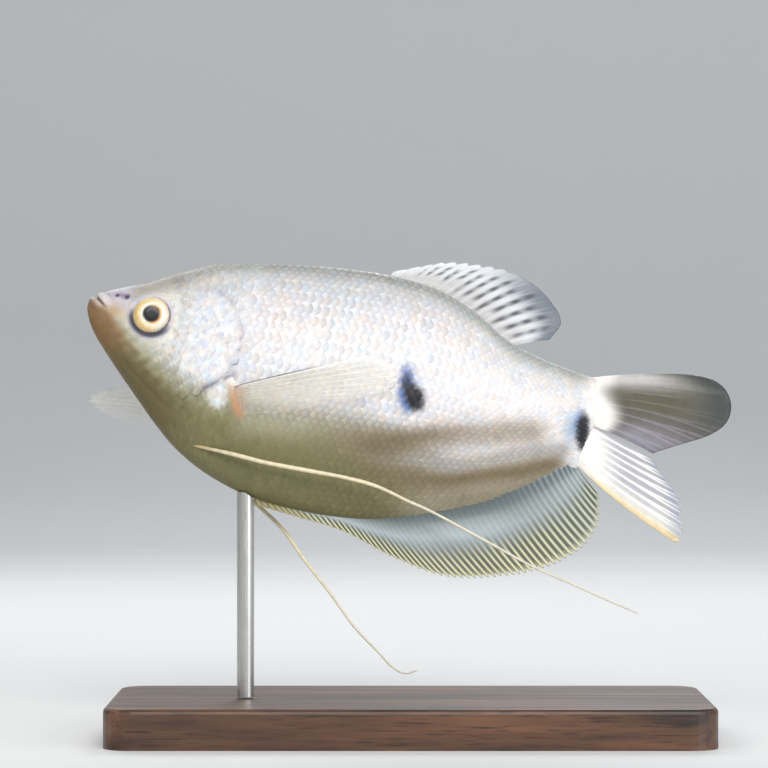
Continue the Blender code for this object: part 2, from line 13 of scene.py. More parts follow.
import bmesh
import bpy
import numpy as np
from mathutils import Euler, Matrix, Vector

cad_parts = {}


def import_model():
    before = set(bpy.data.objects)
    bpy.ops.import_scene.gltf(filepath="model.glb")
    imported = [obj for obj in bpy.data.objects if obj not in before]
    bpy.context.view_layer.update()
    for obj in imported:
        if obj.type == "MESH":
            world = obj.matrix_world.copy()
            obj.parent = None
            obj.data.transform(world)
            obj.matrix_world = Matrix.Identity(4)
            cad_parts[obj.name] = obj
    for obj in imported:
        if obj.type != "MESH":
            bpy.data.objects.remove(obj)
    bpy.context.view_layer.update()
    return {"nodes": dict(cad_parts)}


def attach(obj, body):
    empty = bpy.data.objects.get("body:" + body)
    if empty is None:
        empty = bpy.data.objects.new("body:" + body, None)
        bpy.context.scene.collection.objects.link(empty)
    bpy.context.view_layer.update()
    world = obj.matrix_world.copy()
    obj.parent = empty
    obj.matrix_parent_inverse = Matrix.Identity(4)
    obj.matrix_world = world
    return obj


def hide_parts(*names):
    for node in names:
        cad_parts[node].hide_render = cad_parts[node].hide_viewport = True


LOG = logging.getLogger("gourami")
MM = 0.001
BODY = "root"
TINT = "tint"
MERGE = 1e-7  # metres: points of a piece that are nearer than this are one
FACTOR, FIRST, SECOND, MIXED = 0, 6, 7, 2  # a colour Mix node's sockets, and its result


class Side(Enum):
    """The two flanks of the fish, by the sign of y."""

    LEFT = -1
    RIGHT = 1

    @property
    def word(self) -> str:
        """The side's name as pieces and solids have it."""
        return self.name.lower()


def srgb(code: str) -> np.ndarray:
    """Reads a hex colour as three sRGB shares."""
    return np.array([int(code[k:k + 2], 16) / 255 for k in (1, 3, 5)])


def to_linear(colour: np.ndarray) -> np.ndarray:
    """Turns sRGB shares to linear ones."""
    return np.where(colour <= 0.04045, colour / 12.92, ((colour + 0.055) / 1.055) ** 2.4)


def linear(code: str) -> tuple[float, float, float, float]:
    """Turns a hex colour to the linear colour that a shader socket takes."""
    return (*to_linear(srgb(code)), 1.0)


def rise(low: float, high: float, value: np.ndarray) -> np.ndarray:
    """Smooth step from 0 at low to 1 at high, also where high is the lower number."""
    share = np.clip((value - low) / (high - low), 0.0, 1.0)
    return share * share * (3 - 2 * share)


def hill(distance: np.ndarray, width: float) -> np.ndarray:
    """Bell curve that is 1 at no distance."""
    return np.exp(-(distance / width) ** 2)


def ripple(x: np.ndarray, z: np.ndarray, size: float) -> np.ndarray:
    """Uneven waves from -1 to 1 with patches of about the given size."""
    a, b = x / size, z / size
    return (np.sin(2.1 * a + 1.3 * np.sin(1.7 * b)) + np.sin(2.7 * b + 1.9 * np.sin(1.1 * a + 0.7))
            + np.sin(1.6 * a - 2.2 * b + 0.4)) / 3


def over(colour: np.ndarray, *layers: tuple[str, np.ndarray]) -> np.ndarray:
    """Paints hex colours over others, one after the other, each where its mask is high.

    Args:
        colour: the colours so far, as sRGB shares.
        layers: a hex colour and its mask for each coat.

    Returns:
        The painted colours.
    """
    for code, mask in layers:
        colour = colour + (srgb(code) - colour) * np.clip(mask, 0, 1)[..., None]
    return colour


def coat(code: str, like: np.ndarray) -> np.ndarray:
    """Gives an even first coat of a hex colour, for as many places as there are in like."""
    return np.broadcast_to(srgb(code), (*like.shape, 3)).copy()


def tinted(colour: np.ndarray, fourth: np.ndarray) -> np.ndarray:
    """Turns sRGB shares to linear ones, with a fourth value in a column of its own."""
    return np.concatenate([to_linear(np.clip(colour, 0, 1)), np.clip(fourth, 0, 1)[..., None]], -1)


def unit(vectors: np.ndarray, floor: float = 1e-12) -> np.ndarray:
    """Gives vectors a length of 1, and leaves those shorter than floor near 0."""
    return vectors / np.maximum(np.linalg.norm(vectors, axis=-1, keepdims=True), floor)


def inside_distance(x: np.ndarray, z: np.ndarray, outline: np.ndarray) -> np.ndarray:
    """Distance from a closed outline, positive inside it and negative outside.

    Args:
        x: first coordinate.
        z: second coordinate.
        outline: the outline's corners in order.

    Returns:
        Distances in the outline's own unit.
    """
    start, end = outline, np.roll(outline, -1, axis=0)
    run = end - start
    points = np.stack([x, z], -1)[..., None, :]
    share = np.clip(((points - start) * run).sum(-1) / (run ** 2).sum(-1), 0, 1)
    nearest = np.sqrt(((points - start - share[..., None] * run) ** 2).sum(-1)).min(-1)
    x, z = x[..., None], z[..., None]
    climb = np.where(np.abs(run[:, 1]) < 1e-9, 1e-9, run[:, 1])
    ahead = x < start[:, 0] + (z - start[:, 1]) * run[:, 0] / climb
    crosses = ((start[:, 1] > z) != (end[:, 1] > z)) & ahead
    return np.where(crosses.sum(-1) % 2 == 1, nearest, -nearest)


class Curve:
    """A smooth curve through rows of (share, value, value, ...)."""

    def __init__(self, rows: tuple[tuple[float, ...], ...]) -> None:
        """Works out the slopes at the rows.

        Args:
            rows: the curve's points, in rising order of share.
        """
        table = np.array(rows, dtype=float)
        self.shares, self.values = table[:, 0], table[:, 1:]
        steps = np.arange(len(table))
        before, after = np.maximum(steps - 1, 0), np.minimum(steps + 1, len(table) - 1)
        rises, runs = self.values[after] - self.values[before], self.shares[after] - self.shares[before]
        self.slopes = rises / runs[:, None]

    def __call__(self, share: np.ndarray) -> np.ndarray:
        """Gives the values at each share, in a last axis of their own.

        Args:
            share: places along the curve.

        Returns:
            The curve's values.
        """
        share = np.clip(np.asarray(share, dtype=float), self.shares[0], self.shares[-1])
        i = np.clip(np.searchsorted(self.shares, share, side="right") - 1, 0, len(self.shares) - 2)
        run = (self.shares[i + 1] - self.shares[i])[..., None]
        s = (share - self.shares[i])[..., None] / run
        start, end = 2 * s**3 - 3 * s**2 + 1, 3 * s**2 - 2 * s**3
        leave, arrive = (s**3 - 2 * s**2 + s) * run, (s**3 - s**2) * run
        return (start * self.values[i] + end * self.values[i + 1]
                + leave * self.slopes[i] + arrive * self.slopes[i + 1])

    def line(self, share: np.ndarray) -> np.ndarray:
        """Gives the first value alone."""
        return self(share)[..., 0]


def closed_outline(points: tuple[tuple[float, float], ...], steps: int = 4) -> np.ndarray:
    """Curves a closed outline through a few points.

    Args:
        points: points to pass through, in order.
        steps: corners from one point to the next.

    Returns:
        Corners of the outline.
    """
    count = len(points)
    curve = Curve(tuple((k, *points[k % count]) for k in range(-1, count + 2)))
    return curve(np.arange(count * steps) / steps)


@dataclass(frozen=True)
class Pose:
    """Where the fish's own frame lies over the stand: degrees of nose-up pitch and of bank."""

    snout: tuple[float, float, float] = (-56.4, 1.5, 75.6)
    pitch: float = 13.1
    bank: float = -10.0

    def world(self, points: np.ndarray) -> np.ndarray:
        """Turns the fish's millimetres to the scene's metres."""
        turn = np.array(Euler((math.radians(self.bank), math.radians(self.pitch), 0.0)).to_matrix())
        return (points @ turn.T + np.array(self.snout)) * MM


POSE = Pose()


@dataclass
class BodyForm:
    """The body's surface: back, belly, widest level, half width, and roundness above and below, at each x."""

    rows: tuple[tuple[float, ...], ...] = (
        (0.04, -0.15, -0.45, -0.3, 0.15, 2.0, 2.0),
        (0.2, 0.2, -1.0, -0.4, 0.55, 2.0, 2.0),
        (0.75, 1.0, -2.3, -0.6, 1.1, 2.0, 2.0),
        (1.4, 1.75, -3.5, -0.8, 1.75, 2.0, 2.1),
        (2.6, 2.75, -5.1, -0.9, 2.5, 2.0, 2.1),
        (4.6, 3.8, -7.2, -1.3, 3.2, 2.0, 2.1),
        (7.0, 4.9, -9.5, -1.7, 4.0, 2.0, 2.0),
        (10.0, 6.3, -12.3, -2.2, 4.8, 2.0, 1.9),
        (13.0, 8.2, -15.0, -2.9, 5.4, 1.9, 1.85),
        (16.5, 10.1, -18.1, -3.8, 6.1, 1.9, 1.8),
        (20.5, 12.0, -21.2, -4.8, 6.9, 1.9, 1.75),
        (25.5, 13.4, -23.9, -5.8, 7.6, 1.9, 1.75),
        (31.0, 14.6, -25.8, -6.6, 8.0, 1.85, 1.75),
        (36.5, 15.6, -26.9, -7.0, 8.1, 1.85, 1.75),
        (42.5, 16.5, -27.2, -7.0, 7.9, 1.85, 1.7),
        (49.0, 17.1, -27.0, -6.6, 7.3, 1.85, 1.65),
        (55.0, 17.0, -26.2, -5.8, 6.5, 1.85, 1.6),
        (61.0, 16.2, -24.8, -4.7, 5.7, 1.8, 1.55),
        (67.0, 14.0, -22.7, -3.5, 4.8, 1.8, 1.55),
        (73.0, 10.7, -20.2, -2.6, 4.0, 1.85, 1.55),
        (79.0, 9.1, -16.8, -1.7, 3.3, 1.9, 1.6),
        (84.0, 8.3, -12.8, -0.9, 2.7, 2.0, 1.8),
        (88.0, 7.9, -9.3, -0.3, 2.1, 2.2, 2.1),
        (89.6, 7.8, -8.8, -0.2, 1.85, 2.3, 2.2),
        (90.6, 7.5, -8.2, -0.1, 1.4, 2.2, 2.1),
        (91.2, 6.9, -7.5, 0.0, 0.75, 2.1, 2.0),
        (91.5, 5.9, -6.5, 0.0, 0.05, 2.0, 2.0),
    )
    end: float = 91.0
    bend_from: float = 55.0
    bend: float = 1.6
    table_columns: int = 240
    table_rows: int = 64

    def __post_init__(self) -> None:
        """Tabulates the angles that divide each flank evenly from back to belly."""
        self.curve = Curve(self.rows)
        self.table_x = np.linspace(self.rows[0][0], self.rows[-1][0], self.table_columns)
        fine = np.linspace(math.pi / 2, -math.pi / 2, 361)
        shares = np.linspace(0, 1, self.table_rows + 1)
        self.table = np.empty((self.table_columns, self.table_rows + 1))
        for k, x in enumerate(self.table_x):
            points = self.surface(np.full(fine.shape, x), fine)
            lengths = np.concatenate([[0], np.linalg.norm(np.diff(points, axis=0), axis=1).cumsum()])
            self.table[k] = np.interp(shares * lengths[-1], lengths, fine)

    def spine(self, x: np.ndarray) -> np.ndarray:
        """How far the spine lies to the right at x."""
        return self.bend * (np.maximum(0.0, x - self.bend_from) / (self.end - self.bend_from)) ** 2

    def surface(self, x: np.ndarray, angle: np.ndarray) -> np.ndarray:
        """Points of the surface: angle 0 is the right flank and 90 degrees the back.

        Args:
            x: distance back from the snout.
            angle: angle round the body.

        Returns:
            Points in the fish's frame.
        """
        back, belly, level, half, above, below = np.moveaxis(self.curve(x), -1, 0)
        across, up = np.cos(angle), np.sin(angle)
        power = 2 / np.where(up >= 0, above, below)
        reach = np.where(up >= 0, back - level, level - belly)
        side = np.sign(across) * np.abs(across) ** power
        climb = np.sign(up) * np.abs(up) ** power
        z = level + reach * climb
        return np.stack([x, self.spine(x) + half * side, z], -1)

    def normal(self, x: np.ndarray, angle: np.ndarray) -> np.ndarray:
        """Outward directions of the surface.

        Args:
            x: distance back from the snout.
            angle: angle round the body.

        Returns:
            Unit vectors.
        """
        ahead, behind = np.maximum(x - 0.03, self.rows[0][0]), np.minimum(x + 0.03, self.rows[-1][0])
        along = self.surface(behind, angle) - self.surface(ahead, angle)
        around = self.surface(x, angle + 0.02) - self.surface(x, angle - 0.02)
        return unit(np.cross(around, along))

    def angle(self, x: np.ndarray, share: np.ndarray, side: np.ndarray) -> np.ndarray:
        """Angles at shares of the way from back to belly, on the flank that side names.

        Args:
            x: distance back from the snout.
            share: share of the way from back to belly.
            side: 1 on the right flank and -1 on the left.

        Returns:
            Angles in radians.
        """
        start, end = self.table_x[0], self.table_x[-1]
        column = np.clip((x - start) / (end - start), 0, 1) * (self.table_columns - 1)
        row = np.clip(share, 0, 1) * self.table_rows
        i = np.minimum(column.astype(int), self.table_columns - 2)
        j = np.minimum(row.astype(int), self.table_rows - 1)
        a, b = column - i, row - j
        right = ((1 - a) * (1 - b) * self.table[i, j] + a * (1 - b) * self.table[i + 1, j]
                 + (1 - a) * b * self.table[i, j + 1] + a * b * self.table[i + 1, j + 1])
        return np.where(side > 0, right, math.pi - right)

    def flank(self, x: np.ndarray, z: np.ndarray) -> np.ndarray:
        """Half width of the body at x and z.

        Args:
            x: distance back from the snout.
            z: height in the fish's frame.

        Returns:
            Half widths in millimetres.
        """
        back, belly, level, half, above, below = np.moveaxis(self.curve(x), -1, 0)
        power = np.where(z >= level, above, below)
        reach = np.where(z >= level, back - level, level - belly)
        return half * (1 - np.minimum(1, np.abs(z - level) / reach) ** power) ** (1 / power)


FORM = BodyForm()


@dataclass(frozen=True)
class HeadPlan:
    """The head's features on either side, as (x, z): the eye also has its y, and each nostril its radius."""

    eye: tuple[float, float, float] = (11.8, 3.6, -0.3)
    eye_radius: float = 3.3
    eye_depth: float = 2.5
    mouth_front: tuple[float, float] = (-0.5, 2.85)
    mouth_corner: tuple[float, float] = (3.7, -0.5)
    nostrils: tuple[tuple[float, float, float], ...] = ((5.0, 2.2, 0.3), (6.75, 2.2, 0.42))
    gill_cover: tuple[tuple[float, float], ...] = (
        (17.6, 4.3), (20.4, 5.9), (24.2, 5.3), (26.7, 2.5), (27.8, -1.5), (27.7, -5.4), (25.9, -9.1),
        (22.4, -12.1), (19.0, -13.2), (17.9, -11.7), (18.9, -6.5), (18.9, -1.5))
    pectoral_root: tuple[tuple[float, float], ...] = ((27.7, -8.9), (30.6, -14.4))

    def cover_distance(self, x: np.ndarray, z: np.ndarray) -> np.ndarray:
        """Distance inside the gill cover's outline."""
        return inside_distance(x, z, closed_outline(self.gill_cover))

    def eye_distance(self, x: np.ndarray, z: np.ndarray) -> np.ndarray:
        """Distance from the middle of the eye."""
        return np.hypot(x - self.eye[0], z - self.eye[2])

    def mouth_place(self, x: np.ndarray, z: np.ndarray) -> tuple[np.ndarray, np.ndarray]:
        """Height above the mouth's line, and share of the way back to its corner.

        Args:
            x: distance back from the snout.
            z: height in the fish's frame.

        Returns:
            The heights and the shares.
        """
        start, end = np.array(self.mouth_front), np.array(self.mouth_corner)
        length = np.linalg.norm(end - start)
        along = (end - start) / length
        dx, dz = x - start[0], z - start[1]
        return dz * along[0] - dx * along[1], (dx * along[0] + dz * along[1]) / length


HEAD = HeadPlan()


@dataclass(frozen=True)
class SkinRelief:
    """How far the skin stands above the body's plain form: lips, nostrils, eye sockets and gill covers."""

    coat_depth: float = 0.1
    upper_lip: float = 0.3
    lower_lip: float = 0.36
    cleft_depth: float = 0.7
    cover_height: float = 0.3
    socket_depth: float = 2.3
    reach: float = 34.0

    def lips(self, x: np.ndarray, z: np.ndarray) -> np.ndarray:
        """Two rolled lips that thin out towards the corner, a cleft between them and a fold behind each.

        Args:
            x: distance back from the snout.
            z: height in the fish's frame.

        Returns:
            Heights in millimetres.
        """
        height, share = HEAD.mouth_place(x, z)
        fade = rise(1.12, 0.45, share)
        rolls = self.upper_lip * hill(height - 0.78, 0.6) + self.lower_lip * hill(height + 0.85, 0.7)
        folds = -0.15 * hill(height - 1.85, 0.28) - 0.12 * hill(height + 1.95, 0.35)
        cleft = -self.cleft_depth * hill(height, 0.2) * rise(1.14, 0.6, share)
        return fade * (rolls + folds) + cleft

    def nostrils(self, x: np.ndarray, z: np.ndarray) -> np.ndarray:
        """Pits in the snout with a low rim round each.

        Args:
            x: distance back from the snout.
            z: height in the fish's frame.

        Returns:
            Heights in millimetres.
        """
        total = np.zeros_like(x)
        for place_x, place_z, radius in HEAD.nostrils:
            reach = np.hypot(x - place_x, z - place_z) / radius
            total += 0.16 * hill(reach - 1.35, 0.35) - 0.6 * hill(reach, 0.85)
        return total

    def eye(self, x: np.ndarray, z: np.ndarray) -> np.ndarray:
        """A socket, a soft rim round it and a fold below it.

        Args:
            x: distance back from the snout.
            z: height in the fish's frame.

        Returns:
            Heights in millimetres.
        """
        reach = HEAD.eye_distance(x, z) / HEAD.eye_radius
        below = rise(0.6, -0.9, (z - HEAD.eye[2]) / HEAD.eye_radius)
        socket = -self.socket_depth * rise(1.0, 0.88, reach)
        return socket + 0.05 * hill(reach - 1.25, 0.14) - 0.3 * below * hill(reach - 1.12, 0.1)

    def gill_cover(self, x: np.ndarray, z: np.ndarray) -> np.ndarray:
        """A plate that stands out sharply behind and slopes into the cheek in front.

        Args:
            x: distance back from the snout.
            z: height in the fish's frame.

        Returns:
            Heights in millimetres.
        """
        inside = HEAD.cover_distance(x, z)
        behind = rise(18.5, 22.5, x)
        sharp = rise(-0.2, 0.25, inside)
        soft = rise(-1.2, 1.6, inside)
        plate = self.cover_height * (behind * sharp + (1 - behind) * 0.6 * soft)
        opening = -0.12 * behind * hill(inside + 0.45, 0.45)
        crease = -0.06 * (1 - behind) * hill(inside + 0.3, 1.0)
        bumps = 0.07 * ripple(x, z, 1.9) * rise(0.3, 1.5, inside)
        return plate + opening + crease + bumps

    def folds(self, x: np.ndarray, z: np.ndarray) -> np.ndarray:
        """The gill membranes' fold under the head, the jaw's edge and the brow.

        Args:
            x: distance back from the snout.
            z: height in the fish's frame.

        Returns:
            Heights in millimetres.
        """
        throat_line = np.interp(x, (8.0, 18.0, 24.0), (-8.6, -15.6, -14.6))
        throat = -0.16 * hill(z - throat_line, 0.5) * rise(6.5, 9.5, x) * rise(27.0, 23.0, x)
        jaw_line = np.interp(x, (4.5, 9.0, 14.0), (-1.6, -5.0, -8.2))
        jaw = -0.1 * hill(z - jaw_line, 0.6) * rise(4.0, 6.5, x) * rise(14.5, 9.0, x)
        brow = 0.25 * hill(x - 11.5, 3.2) * hill(z - 4.2, 0.8)
        (x0, z0), (x1, z1) = HEAD.pectoral_root
        share = np.clip((z0 - z) / (z0 - z1), 0, 1)
        past_ends = np.maximum(0, np.abs(z - (z0 + z1) / 2) - 2.0)
        pad = 0.35 * hill(np.hypot(x - (x0 + (x1 - x0) * share), past_ends), 1.1)
        return throat + jaw + brow + pad

    def lift(self, points: np.ndarray) -> np.ndarray:
        """Total height above the plain form at points of its surface.

        Args:
            points: points in the fish's frame.

        Returns:
            Heights in millimetres.
        """
        x, z = points[..., 0], points[..., 2]
        total = np.full(x.shape, -self.coat_depth)
        front = x < self.reach
        forms = (self.lips, self.nostrils, self.eye, self.gill_cover, self.folds)
        total[front] += sum(form(x[front], z[front]) for form in forms)
        return total


RELIEF = SkinRelief()


def skin_place(x: np.ndarray, share: np.ndarray, side: np.ndarray, height: np.ndarray) -> np.ndarray:
    """Points over the finished skin.

    Args:
        x: distance back from the snout.
        share: share of the way from back to belly.
        side: 1 on the right flank and -1 on the left.
        height: distance above the skin.

    Returns:
        Points in the fish's frame.
    """
    angle = FORM.angle(x, share, side)
    points = FORM.surface(x, angle)
    return points + FORM.normal(x, angle) * (RELIEF.lift(points) + height)[..., None]


@dataclass(frozen=True)
class Markings:
    """The skin's colours, shared by skin and scales, with painted shade and painted light among them. The
    fourth value is how pearly the skin is.
    """

    silver: str = "#DAD9D9"
    silver_rear: str = "#E1DCDB"
    rose: str = "#E4DAD6"
    sky: str = "#D8DDE2"
    back: str = "#ABADA6"
    # sand, olive and olive_rear are partly the belly's own olive and partly painted shade where the body
    # turns under
    sand: str = "#A29E86"
    olive: str = "#75704D"
    olive_rear: str = "#81795E"
    # throat is painted shadow under the chin and throat
    throat: str = "#5E5436"
    dusk: str = "#766950"
    light_band: str = "#A5A19A"
    opercle: str = "#E7E7E6"
    opercle_gap: str = "#B9B4C6"
    gill_edge_shade: str = "#A3A0B2"
    cheek: str = "#DBDAD2"
    cheek_gap: str = "#ADA49C"
    snout: str = "#CFCAD8"
    crown: str = "#A49F98"
    tan: str = "#BC9169"
    lip: str = "#D9CCC8"
    # jaw is the lower jaw's own brown, darkened as painted shade where it faces down
    jaw: str = "#7F5F40"
    mouth_cleft_shade: str = "#5A463C"
    # the nostril colours are painted shade in the pits and in the groove between them
    nostril: str = "#50404A"
    nostril_groove_shade: str = "#84779A"
    eye_shadow: str = "#403E4A"
    spot: str = "#0B0C12"
    spot_blue: str = "#4F6BAA"
    halo: str = "#8FA2B4"
    shade: str = "#716C80"
    pectoral_pad: str = "#C98A60"
    tail_root: str = "#EEEAE5"
    head_end: float = 32.0
    head_fades_from: float = 28.5
    darkest_pearl: float = 0.45
    full_pearl: float = 0.85
    belly_line: Curve = field(default_factory=lambda: Curve((
        (0.0, -0.8), (5.0, -2.6), (12.0, -6.4), (17.5, -9.9), (24.0, -12.0), (30.5, -12.2), (40.0, -11.2),
        (47.0, -10.9), (57.0, -11.2), (67.0, -13.0), (79.0, -11.0), (91.0, -7.5))))
    upper_band: Curve = field(default_factory=lambda: Curve((
        (45.0, -14.0), (57.0, -12.2), (67.4, -9.0), (77.2, -5.8), (86.0, -4.0))))
    pale_band: Curve = field(default_factory=lambda: Curve((
        (55.0, -16.0), (69.3, -13.2), (79.5, -8.8), (88.0, -5.6))))
    lower_band: Curve = field(default_factory=lambda: Curve((
        (55.0, -18.6), (67.0, -16.4), (78.8, -12.2), (86.6, -8.6))))

    def head(self, colour: np.ndarray, x: np.ndarray, z: np.ndarray) -> np.ndarray:
        """Paints snout, crown, cheek, gill cover, lips and jaw, with painted shade under the head and the
        eye, in the mouth's cleft, the nostrils and the gill opening, and painted light round the top of the
        eye.

        Args:
            colour: the colours so far, as sRGB shares.
            x: distance back from the snout.
            z: height in the fish's frame.

        Returns:
            The colours with the head's markings over them.
        """
        cover = HEAD.cover_distance(x, z)
        eye = HEAD.eye_distance(x, z)
        height, share = HEAD.mouth_place(x, z)
        depth = FORM.curve(x)[..., 0] - z
        mottle = ripple(x, z, 0.9)
        gaps = rise(0.1, 0.7, ripple(x + 7.0, z, 0.85))
        edge = hill(cover + 0.3, 0.6) * rise(18.5, 21.5, x)
        below = z - self.belly_line.line(x) + 0.7 * mottle
        patch = np.hypot((x - 26.3) / 1.8, (z + 11.6) / 2.1) + 0.15 * mottle
        notch = np.abs(x - 26.0 - 1.29 * (z + 9.25)) * 0.61
        jaw = rise(0.4, -0.8, height) * rise(13.0, 4.0, x) * rise(-11.5, -5.0, z)
        lips = (hill(height - 0.7, 0.7) + 0.7 * hill(height + 0.6, 0.5)) * rise(1.1, 0.7, share)
        under_eye = rise(0.1, -0.75, (z - HEAD.eye[2] + 0.25 * (x - HEAD.eye[0])) / HEAD.eye_radius)
        colour = over(
            colour,
            (self.cheek, (0.75 + 0.25 * mottle) * rise(20.0, 15.0, x)),
            (self.cheek_gap, 0.55 * rise(0.1, 0.8, ripple(x, z, 0.6)) * rise(12.0, 15.5, x)
                * rise(21.0, 17.0, x)),
            (self.crown, 0.85 * rise(6.0, 1.8, depth) * rise(22.0, 13.0, x) * rise(3.0, 8.0, x)),
            (self.snout, 0.75 * rise(9.0, 6.0, x) * rise(-1.4, 0.6, z)),
            (self.tan, 0.75 * hill(np.hypot((x - 5.0) / 2.3, (z + 1.0) / 1.5), 1.0)),
            (self.opercle, (0.85 + 0.15 * mottle) * rise(-0.2, 1.4, cover)),
            (self.sky, 0.6 * rise(0.1, 0.7, ripple(x, z + 5.0, 1.3)) * rise(0.2, 1.4, cover)),
            (self.opercle_gap, 0.5 * gaps * rise(0.0, 1.4, cover)),
            # painted shade along the gill opening, behind the cover's edge
            (self.gill_edge_shade, (0.32 + 0.25 * mottle) * edge),
            # painted shade: sand and olive darken the head's underside, over its own olive
            (self.sand, 0.85 * rise(3.6, -1.6, below)),
            (self.olive, 0.95 * rise(0.6, -4.6, below)),
            (self.opercle, 0.9 * rise(1.3, 0.7, patch)),
            # painted shadow under the chin and throat
            (self.throat, 0.75 * rise(0.0, -4.5, below) * rise(25.0, 15.0, x)),
            (self.shade, 0.7 * hill(notch, 0.25) * rise(2.9, 2.3, np.abs(x - 26.0))),
            # painted shade: the lower jaw's brown, darkened where it faces down
            (self.jaw, 0.85 * jaw),
            (self.lip, 0.85 * lips * rise(-1.6, 0.0, z)),
            # painted shade in the mouth's cleft
            (self.mouth_cleft_shade, 0.75 * hill(height, 0.15) * rise(1.1, 0.7, share)),
            (self.shade, 0.3 * hill(height - 1.9, 0.3) * rise(1.2, 0.6, share)),
            # the skin round the top of the eye is painted pale lavender, partly its own colour and partly
            # painted light that lifts the socket wall's shade
            (self.snout, 0.7 * (1 - under_eye) * rise(4.3, 3.5, eye)),
            # painted shadow: a dark crescent under the eye, where the bulging ball shades the skin
            (self.shade, 0.7 * under_eye * rise(4.6, 3.8, eye)),
            (self.eye_shadow, 0.9 * under_eye * rise(4.15, 3.55, eye)),
            # painted shade in the groove between the nostrils
            (self.nostril_groove_shade, 0.75 * hill(x - 5.9, 1.6) * hill(z - 2.3, 0.5)),
        )
        for place_x, place_z, radius in HEAD.nostrils:
            reach = np.hypot(x - place_x, z - place_z) / radius
            # painted shade in each nostril's pit
            colour = over(colour, (self.nostril, 0.9 * hill(reach, 0.95)))
        return colour

    def flank(self, colour: np.ndarray, x: np.ndarray, z: np.ndarray) -> np.ndarray:
        """Paints the back, the olive belly, darkened further as painted shade where it turns under, and the
        soft bands above the anal fin.

        Args:
            colour: the colours so far, as sRGB shares.
            x: distance back from the snout.
            z: height in the fish's frame.

        Returns:
            The colours with the flank's markings over them.
        """
        back = FORM.curve(x)[..., 0]
        uneven = ripple(x, z, 5.0)
        near_head = 1 - 0.7 * rise(40.0, 70.0, x)
        depth = back - z
        rear = rise(56.0, 72.0, x)
        belly = self.belly_line.line(x) + 0.8 * uneven
        below = z - belly
        band = rise(50.0, 66.0, x)
        colour = over(
            colour,
            (self.silver_rear, rise(38.0, 74.0, x)),
            (self.rose, (0.35 + 0.4 * ripple(x + 9.0, z, 7.0)) * near_head),
            (self.sky, (0.2 + 0.4 * ripple(x, z + 31.0, 6.0)) * near_head),
            (self.back, 0.8 * rise(3.6 + 0.6 * uneven, 0.2, depth) + 0.25 * rise(9.0, 2.0, depth)),
            # painted shade: sand, olive and olive_rear darken the belly where it turns under, over its own
            # olive
            (self.sand, 0.85 * rise(3.2, -2.0, below) * (1 - 0.8 * rear)),
            (self.olive, 0.95 * rise(0.0, -7.5, below) * (1 - rear)),
            (self.dusk, 0.85 * hill(x - 55.0, 8.0) * hill(z + 14.2, 3.1)),
            (self.olive_rear, 0.85 * rise(1.0, -4.0, z - self.lower_band.line(x)) * rear),
            (self.dusk, 0.9 * hill(z - self.upper_band.line(x) - 0.5 * uneven, 2.3) * rise(46.0, 60.0, x)
                * rise(86.0, 80.0, x) * (1 - 0.4 * rise(60.0, 72.0, x))),
            (self.dusk, hill(z - self.lower_band.line(x) - 0.4 * uneven, 2.4) * band * rise(90.0, 85.0, x)),
            (self.light_band, 0.75 * hill(z - self.pale_band.line(x) - 0.3 * uneven, 1.3) * band),
        )
        return colour

    def spots(self, colour: np.ndarray, x: np.ndarray, z: np.ndarray) -> tuple[np.ndarray, np.ndarray]:
        """Paints the spot in the middle of the flank and the one on the tail's root.

        Args:
            colour: the colours so far, as sRGB shares.
            x: distance back from the snout.
            z: height in the fish's frame.

        Returns:
            The colours, and how dark each point's spot is.
        """
        wobble = 0.1 * ripple(x, z, 0.8)
        middle = hill(np.hypot((x - 59.6 + 0.2 * (z + 4.2)) / 1.75, (z + 4.2) / 2.3) + wobble, 1.0)
        streak = hill(np.hypot((x - 57.8 + 0.2 * (z + 3.0)) / 1.4, (z + 3.0) / 3.8) + wobble, 1.0)
        tail = hill(np.hypot((x - 89.4 + 0.12 * (z + 2.2)) / 1.3, (z + 2.2) / 3.4) + wobble, 1.0)
        blue_edge = hill(np.hypot((x - 88.3) / 0.9, (z + 1.0) / 2.2), 0.9)
        halo = hill(np.hypot((x - 87.3) / 1.9, (z + 1.9) / 3.2), 0.9)
        colour = over(
            colour,
            (self.tail_root, 0.9 * rise(86.5, 90.0, x)),
            (self.halo, 0.6 * halo + 0.5 * hill(np.hypot((x - 58.0) / 2.6, (z + 3.0) / 3.6), 0.8)),
            (self.spot_blue, 0.85 * rise(0.1, 0.6, streak) + 0.7 * blue_edge),
        )
        dark = np.clip(rise(0.2, 0.7, middle) + rise(0.2, 0.7, tail) + 0.75 * rise(0.45, 0.9, streak), 0, 1)
        return over(colour, (self.spot, 0.95 * dark)), dark

    def paint(self, points: np.ndarray) -> np.ndarray:
        """Gives each point's linear colour, and in a fourth column how pearly it is.

        Args:
            points: points in the fish's frame.

        Returns:
            Rows of red, green, blue and pearl.
        """
        x, z = points[..., 0], points[..., 2]
        colour = self.flank(coat(self.silver, x), x, z)
        front = x < self.head_end
        near_x, near_z, near = x[front], z[front], colour[front]
        fade = rise(self.head_end, self.head_fades_from, near_x)[..., None]
        colour[front] += (self.head(near, near_x, near_z) - near) * fade
        (x0, z0), (x1, z1) = HEAD.pectoral_root
        share = (z - z0) / (z1 - z0)
        pad = hill(x - 0.2 - x0 - (x1 - x0) * share, 0.9) * rise(-0.05, 0.3, share) * rise(1.2, 0.85, share)
        colour = over(colour, (self.pectoral_pad, 0.75 * pad * rise(-0.5, 0.8, share)))
        colour, dark = self.spots(colour, x, z)
        pearl = rise(self.darkest_pearl, self.full_pearl, colour.mean(-1)) * (1 - dark) * rise(2.0, 6.0, x)
        return tinted(colour, pearl)


MARKINGS = Markings()


